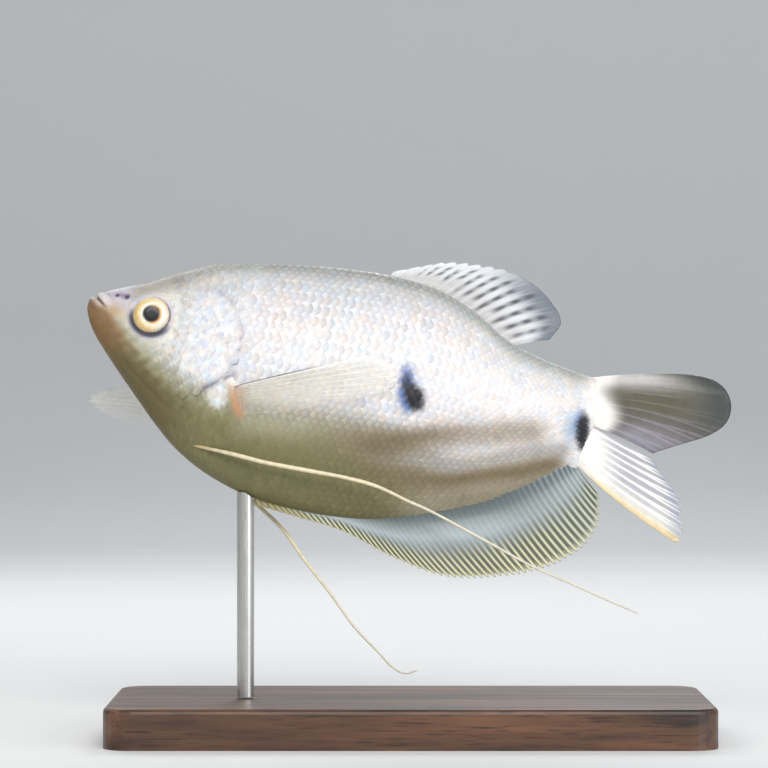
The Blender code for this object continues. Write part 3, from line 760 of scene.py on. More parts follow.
def add_node(tree: bpy.types.NodeTree, kind: str, inputs: dict | None = None,
             **settings: object) -> bpy.types.Node:
    """Adds a node with its settings and links.

    Args:
        tree: the material's node tree.
        kind: the node's type, without the ShaderNode that starts it.
        inputs: by socket name or number, a plain value or the socket that feeds it.
        settings: the node's own properties.

    Returns:
        The new node.
    """
    node = tree.nodes.new("ShaderNode" + kind)
    for name, value in settings.items():
        setattr(node, name, value)
    for key, value in (inputs or {}).items():
        if isinstance(value, bpy.types.NodeSocket):
            tree.links.new(value, node.inputs[key])
        else:
            node.inputs[key].default_value = value
    return node


def per_mm(size: float) -> float:
    """Scale of a pattern whose patches are about size millimetres across."""
    return 1 / (size * MM)


def start_material(name: str,
                   **constants: object) -> tuple[bpy.types.Material, bpy.types.NodeTree, bpy.types.Node]:
    """Makes a material whose shader has constant sockets set on it, by socket name with _ for a space.

    Args:
        name: the material's name.
        constants: socket values.

    Returns:
        The material, its node tree and its shader.
    """
    made = bpy.data.materials.new(name)
    made.use_nodes = True
    shader = made.node_tree.nodes["Principled BSDF"]
    for key, value in constants.items():
        shader.inputs[key.replace("_", " ")].default_value = value
    return made, made.node_tree, shader


@dataclass(frozen=True)
class PearlySkin:
    """Living tissue over guanine crystals, which give it rose and blue pearl where it is painted pale."""

    name: str
    metal: float
    roughness: float
    hue_mm: float
    rose: str
    blue: str
    hue_share: float
    freckle_share: float
    wet_mm: float = 1.2
    freckle: str = "#B0A798"
    freckle_mm: float = 0.35
    pore_mm: float = 0.22
    pore_depth_mm: float = 0.03

    def build(self) -> bpy.types.Material:
        """Makes the material: paint, pearl, pigment freckles, an uneven wet gloss and fine pores.

        Returns:
            The material.
        """
        # Crystals under clear wet skin: pale parts shimmer rose and blue, dark ones stay matt, gloss is soft.
        made, tree, shader = start_material(self.name, Coat_Weight=0.12, Coat_Roughness=0.2,
                                            Specular_IOR_Level=0.2, Subsurface_Weight=0.05,
                                            Subsurface_Scale=0.001)
        place = add_node(tree, "TexCoord").outputs["Object"]
        tint = add_node(tree, "Attribute", attribute_name=TINT)
        paint, pearl = tint.outputs["Color"], tint.outputs["Alpha"]
        hue = add_node(tree, "TexNoise", {"Vector": place, "Scale": per_mm(self.hue_mm), "Detail": 3.0})
        split = add_node(tree, "MapRange", {"Value": hue.outputs["Fac"], "From Min": 0.43, "From Max": 0.57})
        rose_blue = add_node(tree, "Mix", {FACTOR: split.outputs["Result"], FIRST: linear(self.rose),
                                           SECOND: linear(self.blue)}, data_type="RGBA")
        share = add_node(tree, "Math", {0: pearl, 1: self.hue_share}, operation="MULTIPLY")
        pearly = add_node(tree, "Mix", {FACTOR: share.outputs[0], FIRST: paint,
                                        SECOND: rose_blue.outputs[MIXED]},
                          data_type="RGBA", blend_type="MULTIPLY")
        grain = add_node(tree, "TexNoise", {"Vector": place, "Scale": per_mm(self.freckle_mm),
                                            "Detail": 2.0})
        freckles = add_node(tree, "MapRange", {"Value": grain.outputs["Fac"], "From Min": 0.5,
                                               "From Max": 0.66, "To Max": self.freckle_share})
        freckled = add_node(tree, "Mix", {FACTOR: freckles.outputs["Result"], FIRST: pearly.outputs[MIXED],
                                          SECOND: linear(self.freckle)},
                            data_type="RGBA", blend_type="MULTIPLY")
        tree.links.new(freckled.outputs[MIXED], shader.inputs["Base Color"])
        metal = add_node(tree, "Math", {0: pearl, 1: self.metal}, operation="MULTIPLY")
        tree.links.new(metal.outputs[0], shader.inputs["Metallic"])
        wet = add_node(tree, "TexNoise", {"Vector": place, "Scale": per_mm(self.wet_mm), "Detail": 3.0})
        gloss = add_node(tree, "MapRange", {"Value": wet.outputs["Fac"], "From Min": 0.35, "From Max": 0.65,
                                            "To Min": self.roughness - 0.08, "To Max": self.roughness + 0.1})
        tree.links.new(gloss.outputs["Result"], shader.inputs["Roughness"])
        pores = add_node(tree, "TexNoise", {"Vector": place, "Scale": per_mm(self.pore_mm), "Detail": 3.0})
        bump = add_node(tree, "Bump", {"Height": pores.outputs["Fac"], "Strength": 0.7,
                                       "Distance": self.pore_depth_mm * MM})
        tree.links.new(bump.outputs["Normal"], shader.inputs["Normal"])
        return made


@dataclass(frozen=True)
class FinWeb:
    """Thin translucent skin over bony rays: the painted colour's fourth value is how solid it looks."""

    name: str
    cloud_mm: float
    clearing: float
    cloud: str = "#C9CDD2"
    roughness: float = 0.36

    def build(self) -> bpy.types.Material:
        """Makes the material: painted rays and web, cloudy thickness and a wet gloss.

        Returns:
            The material.
        """
        # A wet film between rays: light passes the web in soft clouds, and the rays stand out pale and solid.
        made, tree, shader = start_material(self.name, Roughness=self.roughness, Coat_Weight=0.2,
                                            Coat_Roughness=0.12, Specular_IOR_Level=0.2)
        place = add_node(tree, "TexCoord").outputs["Object"]
        tint = add_node(tree, "Attribute", attribute_name=TINT)
        cloud = add_node(tree, "TexNoise", {"Vector": place, "Scale": per_mm(self.cloud_mm), "Detail": 3.0})
        dull = add_node(tree, "MapRange", {"Value": cloud.outputs["Fac"], "From Min": 0.4, "From Max": 0.7,
                                           "To Max": 0.35})
        shade = add_node(tree, "Mix", {FACTOR: dull.outputs["Result"], FIRST: tint.outputs["Color"],
                                       SECOND: linear(self.cloud)}, data_type="RGBA", blend_type="MULTIPLY")
        tree.links.new(shade.outputs[MIXED], shader.inputs["Base Color"])
        thin = add_node(tree, "MapRange", {"Value": cloud.outputs["Fac"], "From Min": 0.35,
                                           "From Max": 0.65, "To Min": 1 - self.clearing})
        solid = add_node(tree, "Math", {0: tint.outputs["Alpha"], 1: thin.outputs["Result"]},
                         operation="MULTIPLY")
        tree.links.new(solid.outputs[0], shader.inputs["Alpha"])
        return made


@dataclass(frozen=True)
class WetEye:
    """A clear cornea over a gold and silver iris: the gloss is the cornea's."""

    name: str = "gourami eye"
    fleck: str = "#A08F6C"
    fleck_mm: float = 0.25

    def build(self) -> bpy.types.Material:
        """Makes the material: painted iris with fine flecks under a clear wet coat.

        Returns:
            The material.
        """
        # A smooth wet cornea: one soft highlight over a finely flecked iris.
        made, tree, shader = start_material(self.name, Roughness=0.34, Metallic=0.05, Coat_Weight=0.35,
                                            Coat_Roughness=0.1, Coat_IOR=1.38, Specular_IOR_Level=0.2)
        place = add_node(tree, "TexCoord").outputs["Object"]
        tint = add_node(tree, "Attribute", attribute_name=TINT)
        grain = add_node(tree, "TexNoise", {"Vector": place, "Scale": per_mm(self.fleck_mm), "Detail": 3.0})
        flecks = add_node(tree, "MapRange", {"Value": grain.outputs["Fac"], "From Min": 0.45,
                                             "From Max": 0.65, "To Max": 0.3})
        iris = add_node(tree, "Mix", {FACTOR: flecks.outputs["Result"], FIRST: tint.outputs["Color"],
                                      SECOND: linear(self.fleck)}, data_type="RGBA", blend_type="MULTIPLY")
        tree.links.new(iris.outputs[MIXED], shader.inputs["Base Color"])
        return made


@dataclass(frozen=True)
class Walnut:
    """Oiled black walnut, sanded along the grain, which runs along the base."""

    name: str = "oiled walnut"
    light: str = "#6E4A33"
    dark: str = "#2E1C12"
    pore: str = "#1C110B"
    figure_mm: float = 5.0
    pore_mm: float = 0.35

    def build(self) -> bpy.types.Material:
        """Makes the material: wavy figure, open pores as fine dark dashes and a satin oil finish.

        Returns:
            The material.
        """
        # Dark streaks along the base under a thin satin oil. Real pores are finer: these are drawn to show.
        made, tree, shader = start_material(self.name, Coat_Weight=0.15, Coat_Roughness=0.3)
        place = add_node(tree, "TexCoord").outputs["Object"]
        long = add_node(tree, "Mapping", {"Vector": place, "Scale": (0.09, 1.0, 1.0)}).outputs["Vector"]
        figure = add_node(tree, "TexNoise", {"Vector": long, "Scale": per_mm(self.figure_mm), "Detail": 5.0,
                                             "Roughness": 0.62}).outputs["Fac"]
        grain = add_node(tree, "MapRange", {"Value": figure, "From Min": 0.36, "From Max": 0.66})
        wood = add_node(tree, "Mix", {FACTOR: grain.outputs["Result"], FIRST: linear(self.dark),
                                      SECOND: linear(self.light)}, data_type="RGBA")
        dashes = add_node(tree, "Mapping", {"Vector": place, "Scale": (0.05, 1.0, 1.0)}).outputs["Vector"]
        pores = add_node(tree, "TexNoise", {"Vector": dashes, "Scale": per_mm(self.pore_mm)}).outputs["Fac"]
        open_pores = add_node(tree, "MapRange", {"Value": pores, "From Min": 0.56, "From Max": 0.68,
                                                 "To Max": 0.7})
        pored = add_node(tree, "Mix", {FACTOR: open_pores.outputs["Result"], FIRST: wood.outputs[MIXED],
                                       SECOND: linear(self.pore)}, data_type="RGBA")
        tree.links.new(pored.outputs[MIXED], shader.inputs["Base Color"])
        sheen = add_node(tree, "MapRange", {"Value": figure, "From Min": 0.3, "From Max": 0.7,
                                            "To Min": 0.5, "To Max": 0.36})
        tree.links.new(sheen.outputs["Result"], shader.inputs["Roughness"])
        bump = add_node(tree, "Bump", {"Height": pores, "Distance": 0.04 * MM, "Strength": 0.5},
                        invert=True)
        tree.links.new(bump.outputs["Normal"], shader.inputs["Normal"])
        return made


@dataclass(frozen=True)
class BrushedSteel:
    """Stainless steel rod, brushed along its length."""

    name: str = "brushed stainless steel"
    colour: str = "#C9C8C4"
    scratch_mm: float = 0.18

    def build(self) -> bpy.types.Material:
        """Makes the material: fine scratches along the rod in its roughness and bump.

        Returns:
            The material.
        """
        # Highlights smear round the rod. Real scratches are finer, and are drawn so that they show.
        made, tree, shader = start_material(self.name, Base_Color=linear(self.colour), Metallic=1.0)
        place = add_node(tree, "TexCoord").outputs["Object"]
        long = add_node(tree, "Mapping", {"Vector": place, "Scale": (1.0, 1.0, 0.03)}).outputs["Vector"]
        scratch = add_node(tree, "TexNoise", {"Vector": long, "Scale": per_mm(self.scratch_mm),
                                              "Detail": 3.0}).outputs["Fac"]
        dull = add_node(tree, "MapRange", {"Value": scratch, "From Min": 0.3, "From Max": 0.7,
                                           "To Min": 0.22, "To Max": 0.42})
        tree.links.new(dull.outputs["Result"], shader.inputs["Roughness"])
        bump = add_node(tree, "Bump", {"Height": scratch, "Distance": 0.01 * MM, "Strength": 0.4})
        tree.links.new(bump.outputs["Normal"], shader.inputs["Normal"])
        return made


@dataclass(frozen=True)
class StudioFloor:
    """Matt pale paper under and behind the model."""

    name: str = "pale studio paper"
    colour: str = "#E6E7E8"

    def build(self) -> bpy.types.Material:
        """Makes the material."""
        # Rough paper has no highlights, only soft shadows.
        return start_material(self.name, Base_Color=linear(self.colour), Roughness=0.85,
                              Specular_IOR_Level=0.2)[0]


def link(name: str, data: bpy.types.ID) -> bpy.types.Object:
    """Adds an object with the given data to the scene."""
    made = bpy.data.objects.new(name, data)
    bpy.context.scene.collection.objects.link(made)
    return made


def flat_grid(columns: int, rows: int) -> tuple[bmesh.types.BMesh, np.ndarray]:
    """Makes a flat grid to be shaped.

    Args:
        columns: cells along it.
        rows: cells across it.

    Returns:
        The grid, and each vertex's shares of the way along and across it.
    """
    bm = bmesh.new()
    bmesh.ops.create_grid(bm, x_segments=columns, y_segments=rows, size=0.5)
    return bm, np.array([(v.co.x + 0.5, v.co.y + 0.5) for v in bm.verts])


def double_sheet(bm: bmesh.types.BMesh) -> None:
    """Gives a flat sheet a second face, one unit above the first, and walls between the two."""
    made = bmesh.ops.extrude_face_region(bm, geom=bm.faces[:], use_keep_orig=True)["geom"]
    bmesh.ops.translate(bm, vec=(0, 0, 1), verts=[v for v in made if isinstance(v, bmesh.types.BMVert)])


def set_places(bm: bmesh.types.BMesh, points: np.ndarray, tints: np.ndarray) -> None:
    """Moves every vertex to its place in the fish's frame and paints it.

    Args:
        bm: the mesh.
        points: a place for each vertex, in the fish's frame.
        tints: a linear colour and a fourth value for each vertex.
    """
    layer = bm.verts.layers.float_color.new(TINT)
    for vert, place, tint in zip(bm.verts, POSE.world(points), tints):
        vert.co = place
        vert[layer] = tint


def store(name: str, bm: bmesh.types.BMesh, material: bpy.types.Material,
          nodes: tuple[str, ...] = ()) -> bpy.types.Object:
    """Stores a mesh in metres as a smooth piece of the model.

    Args:
        name: the piece's name.
        bm: its mesh, which is freed.
        material: the finish.
        nodes: the solids that it stands for.

    Returns:
        The new object.
    """
    bmesh.ops.remove_doubles(bm, verts=bm.verts, dist=MERGE)
    bmesh.ops.recalc_face_normals(bm, faces=bm.faces)
    mesh = bpy.data.meshes.new(name)
    bm.to_mesh(mesh)
    bm.free()
    return place_piece(name, mesh, material, nodes)


def place_piece(name: str, mesh: bpy.types.Mesh, material: bpy.types.Material,
                nodes: tuple[str, ...]) -> bpy.types.Object:
    """Links a mesh to the scene, on the model's one body.

    Args:
        name: the piece's name.
        mesh: its mesh in metres.
        material: the finish.
        nodes: the solids that it stands for.

    Returns:
        The new object.
    """
    piece = link(name, mesh)
    mesh.materials.append(material)
    mesh.shade_smooth()
    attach(piece, BODY)
    if nodes:
        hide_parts(*nodes)
    LOG.info("%s: %d faces", name, len(mesh.polygons))
    return piece


@dataclass(frozen=True)
class Skin:
    """The whole skin from snout to tail root, in one closed mesh that is finest at the snout."""

    around: int = 256
    stretches: tuple[tuple[float, float, int], ...] = ((0.04, 9.0, 64), (9.0, 31.0, 74), (31.0, 91.5, 84))
    nodes: tuple[str, ...] = ("head", "trunk", "tail_stem", "gill_cover_left", "gill_cover_right")

    def stations(self) -> np.ndarray:
        """Distances from the snout of the skin's rings."""
        runs = [np.linspace(start, end, count, endpoint=False) for start, end, count in self.stretches]
        return np.concatenate([*runs, [self.stretches[-1][1]]])

    def build(self, material: bpy.types.Material) -> None:
        """Wraps a grid round the body and closes it at both ends.

        Args:
            material: the finish.
        """
        stations = self.stations()
        bm, shares = flat_grid(len(stations) - 1, self.around)
        x = stations[np.rint(shares[:, 0] * (len(stations) - 1)).astype(int)]
        turn = shares[:, 1] * 2
        side = np.where(turn <= 1, 1, -1)
        share = np.where(turn <= 1, turn, 2 - turn)
        points = skin_place(x, share, side, np.zeros_like(x))
        tints = MARKINGS.paint(points)
        for end in (stations[0], stations[-1]):
            points[x == end] = points[x == end].mean(axis=0)
        set_places(bm, points, tints)
        store("skin", bm, material, self.nodes)


@dataclass(frozen=True)
class ScaleCoat:
    """Rows of overlapping scales on one flank, with their free edges towards the tail."""

    side: Side
    first: float = 8.0
    last: float = 90.4
    rows: int = 22
    pitches: tuple[tuple[float, float], ...] = (
        (8.0, 0.44), (20.0, 0.54), (29.0, 0.7), (62.0, 0.7), (91.0, 0.5))
    outline: int = 12
    overlap: float = 1.5
    width: float = 0.56
    sunk: float = -0.06
    lifted: float = 0.11
    dome: float = 0.02
    thickness: float = 0.07
    give: float = 0.04
    flat_below_pitch: float = 0.65
    seam: float = 0.014
    eye_clearance: float = 4.6
    opening_clearance: float = 0.3
    pad_clearance: float = 1.3
    sharp_edge: float = 35.0
    patch: float = 0.0015
    map_margin: float = 0.02
    seed: int = 7

    def template(self) -> tuple[np.ndarray, list[tuple[int, ...]]]:
        """A closed lens-like disc, as points of (along, across, 0 below or 1 above).

        Returns:
            Its points and its faces.
        """
        bm = bmesh.new()
        bmesh.ops.create_circle(bm, segments=self.outline, radius=1.0, cap_ends=True, cap_tris=True)
        double_sheet(bm)
        bmesh.ops.recalc_face_normals(bm, faces=bm.faces)
        points = np.array([v.co[:] for v in bm.verts])
        faces = [tuple(v.index for v in f.verts) for f in bm.faces]
        bm.free()
        return points, faces

    def plain(self, x: np.ndarray, share: np.ndarray) -> np.ndarray:
        """Points of the body's plain form on this flank."""
        return FORM.surface(x, FORM.angle(x, share, np.full(x.shape, self.side.value)))

    def roots(self) -> np.ndarray:
        """Rows of (x, share, pitch, 0 or 1 by column) for every scale, in staggered columns.

        Returns:
            One row for each scale.
        """
        ends, sizes = zip(*self.pitches)
        found, x, column = [], self.first, 0
        while x < self.last:
            pitch = float(np.interp(x, ends, sizes))
            for row in range(self.rows):
                found.append((x, (row + 0.25 + 0.5 * (column % 2)) / self.rows, pitch, column % 2))
            x += pitch
            column += 1
        roots = np.array(found)
        roots = roots[(roots[:, 1] > self.seam) & (roots[:, 1] < 1 - self.seam)]
        points = self.plain(roots[:, 0], roots[:, 1])
        return roots[self.grows(points[:, 0], points[:, 2])]

    def grows(self, x: np.ndarray, z: np.ndarray) -> np.ndarray:
        """True where the skin bears scales: not on the snout, jaws, eye, gill opening or pectoral root.

        Args:
            x: distance back from the snout.
            z: height in the fish's frame.

        Returns:
            A truth value for each place.
        """
        cover = HEAD.cover_distance(x, z)
        naked_to = np.interp(z, (-14.0, -9.0, -5.0, 0.0, 3.0, 7.0), (19.0, 15.0, 12.5, 16.0, 16.5, 13.0))
        eye = HEAD.eye_distance(x, z) < self.eye_clearance
        opening = (np.abs(cover) < self.opening_clearance) & (x > 19.0)
        (x0, z0), (x1, z1) = HEAD.pectoral_root
        from_pad = np.abs(x - x0 - (x1 - x0) * (z - z0) / (z1 - z0))
        pad = (from_pad < self.pad_clearance) & (z < z0 + 0.6) & (z > z1 - 0.6)
        return ~((x < naked_to) | eye | opening | pad)

    def build(self, material: bpy.types.Material) -> None:
        """Lays a copy of the template on every root, in one mesh, with its bake map.

        Args:
            material: the finish.
        """
        template, faces = self.template()
        roots = self.roots()
        rng = np.random.default_rng(self.seed)
        count, corners = len(roots), len(template)
        along, across, top = template[:, 0], template[:, 1], template[:, 2]
        centre = (np.hypot(along, across) < 0.5).astype(float)
        x0, share0, pitch, odd = roots[:, :1], roots[:, 1:2], roots[:, 2:3], roots[:, 3:]
        plain_z = self.plain(x0[:, 0], share0[:, 0])[:, 2:]
        loose = 1 + 4 * rise(31.0, 27.0, x0) * rise(0.5, 3.5, plain_z - MARKINGS.belly_line(x0[:, 0]))
        x0 = x0 + rng.normal(0, 0.02, (count, 1)) * loose
        share0 = share0 + rng.normal(0, 0.001, (count, 1)) * loose
        size = 1 + rng.normal(0, 0.03, (count, 1)) * loose
        x = np.clip(x0 + along * pitch * self.overlap * size, FORM.rows[0][0], FORM.rows[-1][0] - 0.2)
        share = np.clip(share0 + across * self.width / self.rows * size, 0.0, 1.0)
        lean = rng.normal(0, 0.025, (count, 1))
        tilt = rng.normal(0, 0.015, (count, 1))
        height = self.sunk + (self.lifted - self.sunk + lean) * (along + 1) / 2 * (1 - 0.3 * across ** 2)
        height = height + tilt * across + self.dome * centre - self.thickness * (1 - top)
        height = height * np.minimum(1, pitch / self.flat_below_pitch)
        height = height * rise(0.0, 0.03, np.minimum(share, 1 - share)) * rise(91.4, 89.0, x)
        height = height * (1 - 0.5 * self.sheltered(self.plain(x0, share0)))
        angle = FORM.angle(x, share, np.full(x.shape, self.side.value))
        plain = FORM.surface(x, angle)
        base = RELIEF.lift(self.plain(x0[:, 0], np.clip(share0[:, 0], 0, 1)))[:, None]
        height = height + base + np.clip(RELIEF.lift(plain) - base, -self.give, self.give)
        points = (plain + FORM.normal(x, angle) * height[..., None]).reshape(-1, 3)
        colours = self.colours(plain, along, across, odd, rng)
        mesh = bpy.data.meshes.new(f"scales_{self.side.word}")
        mesh.from_pydata(POSE.world(points).tolist(), [],
                         [tuple(k * corners + i for i in face) for k in range(count) for face in faces])
        layer = mesh.attributes.new(TINT, "FLOAT_COLOR", "POINT")
        layer.data.foreach_set("color", colours.reshape(-1, 4).ravel().astype(np.float32))
        self.bake_map(mesh, x0, share0, along, across)
        LOG.info("%d scales", count)
        piece = place_piece(mesh.name, mesh, material, ())
        piece.data.set_sharp_from_angle(angle=math.radians(self.sharp_edge))

    def sheltered(self, places: np.ndarray) -> np.ndarray:
        """1 on the front of the belly, where the scales lie flat and hardly show, and 0 elsewhere."""
        x, z = places[..., 0], places[..., 2]
        return rise(0.0, -4.0, z - MARKINGS.belly_line.line(x)) * rise(54.0, 40.0, x)

    def colours(self, places: np.ndarray, along: np.ndarray, across: np.ndarray, odd: np.ndarray,
                rng: np.random.Generator) -> np.ndarray:
        """Colours of every scale's points: the skin's own, darker at the free edge, each a little different,
        with painted highlight and shade in alternate columns.

        Args:
            places: points below each scale's outline, in the fish's frame.
            along: each outline point's place along its scale, from -1 to 1.
            across: each outline point's place across its scale, from -1 to 1.
            odd: 1 for scales of odd columns, otherwise 0.
            rng: the seeded random source.

        Returns:
            Rows of red, green, blue and pearl for each scale.
        """
        base = MARKINGS.paint(places)
        dim = base[..., :3].mean(-1, keepdims=True)
        head = rise(31.0, 27.0, places[..., :1])
        rim = (rise(0.4, 1.0, np.hypot(along, across)) * rise(-0.3, 0.4, along))[None, :, None]
        belly = self.sheltered(places)[..., None]
        rear = rise(58.0, 76.0, places[..., :1])
        contrast = (0.22 + 0.14 * hill(dim - 0.4, 0.12)) * (1 - 0.3 * head)
        contrast = contrast * (1 - 0.6 * belly) * (1 - 0.3 * rear)
        patchy = 0.6 + 0.4 * ripple(places[..., :1], places[..., 2:3], 3.5)
        # painted highlight and shade: odd columns lighter and even ones darker, as rows of sparkle where the
        # scale rows catch the light
        columns = 0.13 * patchy * (2 * odd[..., None] - 1) * rise(0.5, 0.8, dim)
        columns = columns * (1 - head) * (1 - 0.6 * rear)
        tone = 1 + rng.normal(0, 0.04, (len(places), 1, 1)) * (1 + 0.4 * head) + columns
        shade = tone * (1.06 - contrast * rim * np.array([1.0, 1.08, 0.9]))
        hue = rng.normal(0, 0.012, (len(places), 1, 1)) * np.array([1.0, -0.1, -0.9]) * rise(0.1, 0.4, dim)
        rgb = np.clip(base[..., :3] * (shade + hue), 0.003, 0.97)
        return np.concatenate([rgb, base[..., 3:]], -1)

    def bake_map(self, mesh: bpy.types.Mesh, x0: np.ndarray, share0: np.ndarray, along: np.ndarray,
                 across: np.ndarray) -> None:
        """Adds the map in which each scale is a small patch at its root's place on the unrolled flank.

        Args:
            mesh: the scales' mesh.
            x0: each root's distance back from the snout.
            share0: each root's share of the way from back to belly.
            along: each outline point's place along its scale, from -1 to 1.
            across: each outline point's place across its scale, from -1 to 1.
        """
        span = 1 - 2 * self.map_margin
        u = self.map_margin + span * x0 / FORM.end + self.patch * along
        v = self.map_margin + span * share0 + self.patch * across
        places = np.stack([u, v], -1).reshape(-1, 2)
        corner_verts = np.empty(len(mesh.loops), dtype=np.int32)
        mesh.loops.foreach_get("vertex_index", corner_verts)
        uv = mesh.uv_layers.new(name="OFBake")
        uv.data.foreach_set("uv", places[corner_verts].ravel())


@dataclass(frozen=True)
class Fin:
    """A thin closed sheet on rays. Each row is a share along its base, then places of root and margin."""

    name: str
    rows: tuple[tuple[float, ...], ...]
    rays: int
    columns_per_ray: int = 8
    lines: int = 36
    notch: float = 0.04
    bow: float = 0.0
    web: float = 0.1
    ray_height: float = 0.11
    ray_width: float = 0.12
    rim: float = 0.05
    rim_sharpness: float = 12.0
    root_extra: float = 0.8
    root_reach: float = 0.18
    forks_from: float = 0.45
    rays_from: float = 0.05
    smooth_rear: float = 0.0
    ripple_height: float = 0.15

    def offset(self, u: np.ndarray) -> np.ndarray:
        """How far u lies from the nearest ray, in spaces between rays, from -0.5 to 0.5."""
        place = u * self.rays - 0.5
        return place - np.rint(place)

    def ray_wave(self, u: np.ndarray, v: np.ndarray) -> np.ndarray:
        """1 on each ray and 0 in the web between: a soft ray forks in two towards the margin.

        Args:
            u: share of the way along the base.
            v: share of the way out to the margin.

        Returns:
            Heights from 0 to 1.
        """
        offset = self.offset(u)
        spread = 0.2 * rise(self.forks_from, 1.0, v)
        width = self.ray_width * (1 - 0.3 * rise(self.forks_from, 1.0, v))
        return np.maximum(hill(offset - spread, width), hill(offset + spread, width))

    def flesh(self, u: np.ndarray) -> np.ndarray:
        """How much thicker the fin is at its root."""
        return np.full(u.shape, self.root_extra)

    def thickness(self, u: np.ndarray, v: np.ndarray) -> np.ndarray:
        """Half the fin's thickness: fleshy at its root, then web with rays that thin out.

        Args:
            u: share of the way along the base.
            v: share of the way out to the margin.

        Returns:
            Half thicknesses in millimetres.
        """
        wave = self.ray_wave(u, v)
        joints = 1 + 0.12 * np.sin(v * 90.0)
        flesh = self.flesh(u) * np.clip(1 - v / self.root_reach, 0, 1) ** 1.4
        rays = self.ray_height * wave * joints * rise(0, 0.15, v - self.rays_from) * (1 - 0.7 * v)
        return self.web + flesh + rays

    def reach(self, u: np.ndarray, v: np.ndarray) -> np.ndarray:
        """Share of the way to the margin, drawn in between rays so that their tips stand out.

        Args:
            u: share of the way along the base.
            v: share of the way out to the margin.

        Returns:
            Shares of the way out.
        """
        between = np.abs(self.offset(u)) * 2
        return v * (1 - self.notch * between ** 1.5 * (1 - self.smooth_rear * rise(0.35, 0.7, u)))

    def middle(self, u: np.ndarray, v: np.ndarray) -> np.ndarray:
        """Middle surface in the fish's frame."""
        raise NotImplementedError

    def paint(self, u: np.ndarray, v: np.ndarray) -> tuple[np.ndarray, np.ndarray]:
        """Colour as sRGB shares, and how solid the fin looks."""
        raise NotImplementedError

    def build(self, material: bpy.types.Material) -> None:
        """Shapes both faces of the sheet and closes its rim.

        Args:
            material: the finish.
        """
        bm, _ = flat_grid(self.rays * self.columns_per_ray, self.lines)
        double_sheet(bm)
        places = np.array([v.co[:] for v in bm.verts])
        u, v, face = places[:, 0] + 0.5, places[:, 1] + 0.5, 2 * places[:, 2] - 1
        step = 1e-3
        along = self.middle(np.minimum(u + step, 1), v) - self.middle(np.maximum(u - step, 0), v)
        out = self.middle(u, np.minimum(v + step, 1)) - self.middle(u, np.maximum(v - step, 0))
        normal = unit(np.cross(along, out), floor=1e-9)
        slim = 0.6 + 2.4 * rise(0.0, 2 * self.root_reach, v)
        edge = np.minimum(np.minimum(u, 1 - u) * self.rays * slim, (1 - v) * self.rim_sharpness)
        half = self.rim + (self.thickness(u, v) - self.rim) * np.clip(edge, 0, 1) ** 0.5
        points = self.middle(u, v) + normal * (face * half)[:, None]
        set_places(bm, points, tinted(*self.paint(u, v)))
        store(f"{self.name}_web", bm, material, (self.name,))


@dataclass(frozen=True)
class MedianFin(Fin):
    """A fin in the body's middle plane: rows of (share, root x and z, margin x and z, margin's swing)."""

    def middle(self, u: np.ndarray, v: np.ndarray) -> np.ndarray:
        """Middle surface: rays bow within the plane and the margin swings sideways in soft waves.

        Args:
            u: share of the way along the base.
            v: share of the way out to the margin.

        Returns:
            Points in the fish's frame.
        """
        root_x, root_z, tip_x, tip_z, swing = np.moveaxis(Curve(self.rows)(u), -1, 0)
        v = self.reach(u, v)
        dx, dz = tip_x - root_x, tip_z - root_z
        bow = self.bow * 4 * v * (1 - v)
        wave = self.ripple_height * np.sin(u * 17.0 + 2.0 * v) * v ** 2
        y = FORM.spine(root_x) + swing * v ** 1.5 + wave
        return np.stack([root_x + dx * v - dz * bow, y, root_z + dz * v + dx * bow], -1)


@dataclass(frozen=True)
class DorsalFin(MedianFin):
    """Spiny in front with a jagged edge, soft and rounded behind, with dark dashes between its rays."""

    def paint(self, u: np.ndarray, v: np.ndarray) -> tuple[np.ndarray, np.ndarray]:
        """Pale grey, dusky towards its rear margin, with rows of dark dashes and a white edge in front.

        Args:
            u: share of the way along the base.
            v: share of the way out to the margin.

        Returns:
            sRGB shares, and how solid each point looks.
        """
        wave = self.ray_wave(u, v)
        jitter = 0.05 * np.sin(u * 61.0) + 0.03 * np.sin(u * 143.0 + 1.0)
        gap = rise(0.42, 0.85, np.abs(self.offset(u)) * 2)
        dashes = gap * (hill(v - 0.32 - jitter, 0.1) * rise(0.4, 0.6, u) + hill(v - 0.54 - jitter, 0.08)
                        + 0.8 * hill(v - 0.74 - jitter, 0.07))
        colour = over(
            coat("#D8DADD", u),
            ("#BFBCBB", rise(0.7, 0.25, v + jitter + 0.1 * rise(0.45, 0.8, u))),
            ("#6A717B", 0.85 * rise(0.5, 0.85, v) * rise(0.45, 0.8, u)),
            ("#DAD9DA", 0.6 * wave * rise(0.95, 0.5, v)),
            ("#3A3E47", 0.88 * dashes * rise(0.1, 0.28, u) * rise(1.0, 0.9, u)),
            ("#EEF2F7", 0.85 * hill(v - 0.95, 0.07) * rise(0.55, 0.35, u)),
        )
        return colour, 0.9 + 0.1 * wave + rise(0.3, 0.1, v) - 0.12 * rise(0.8, 1.0, v)


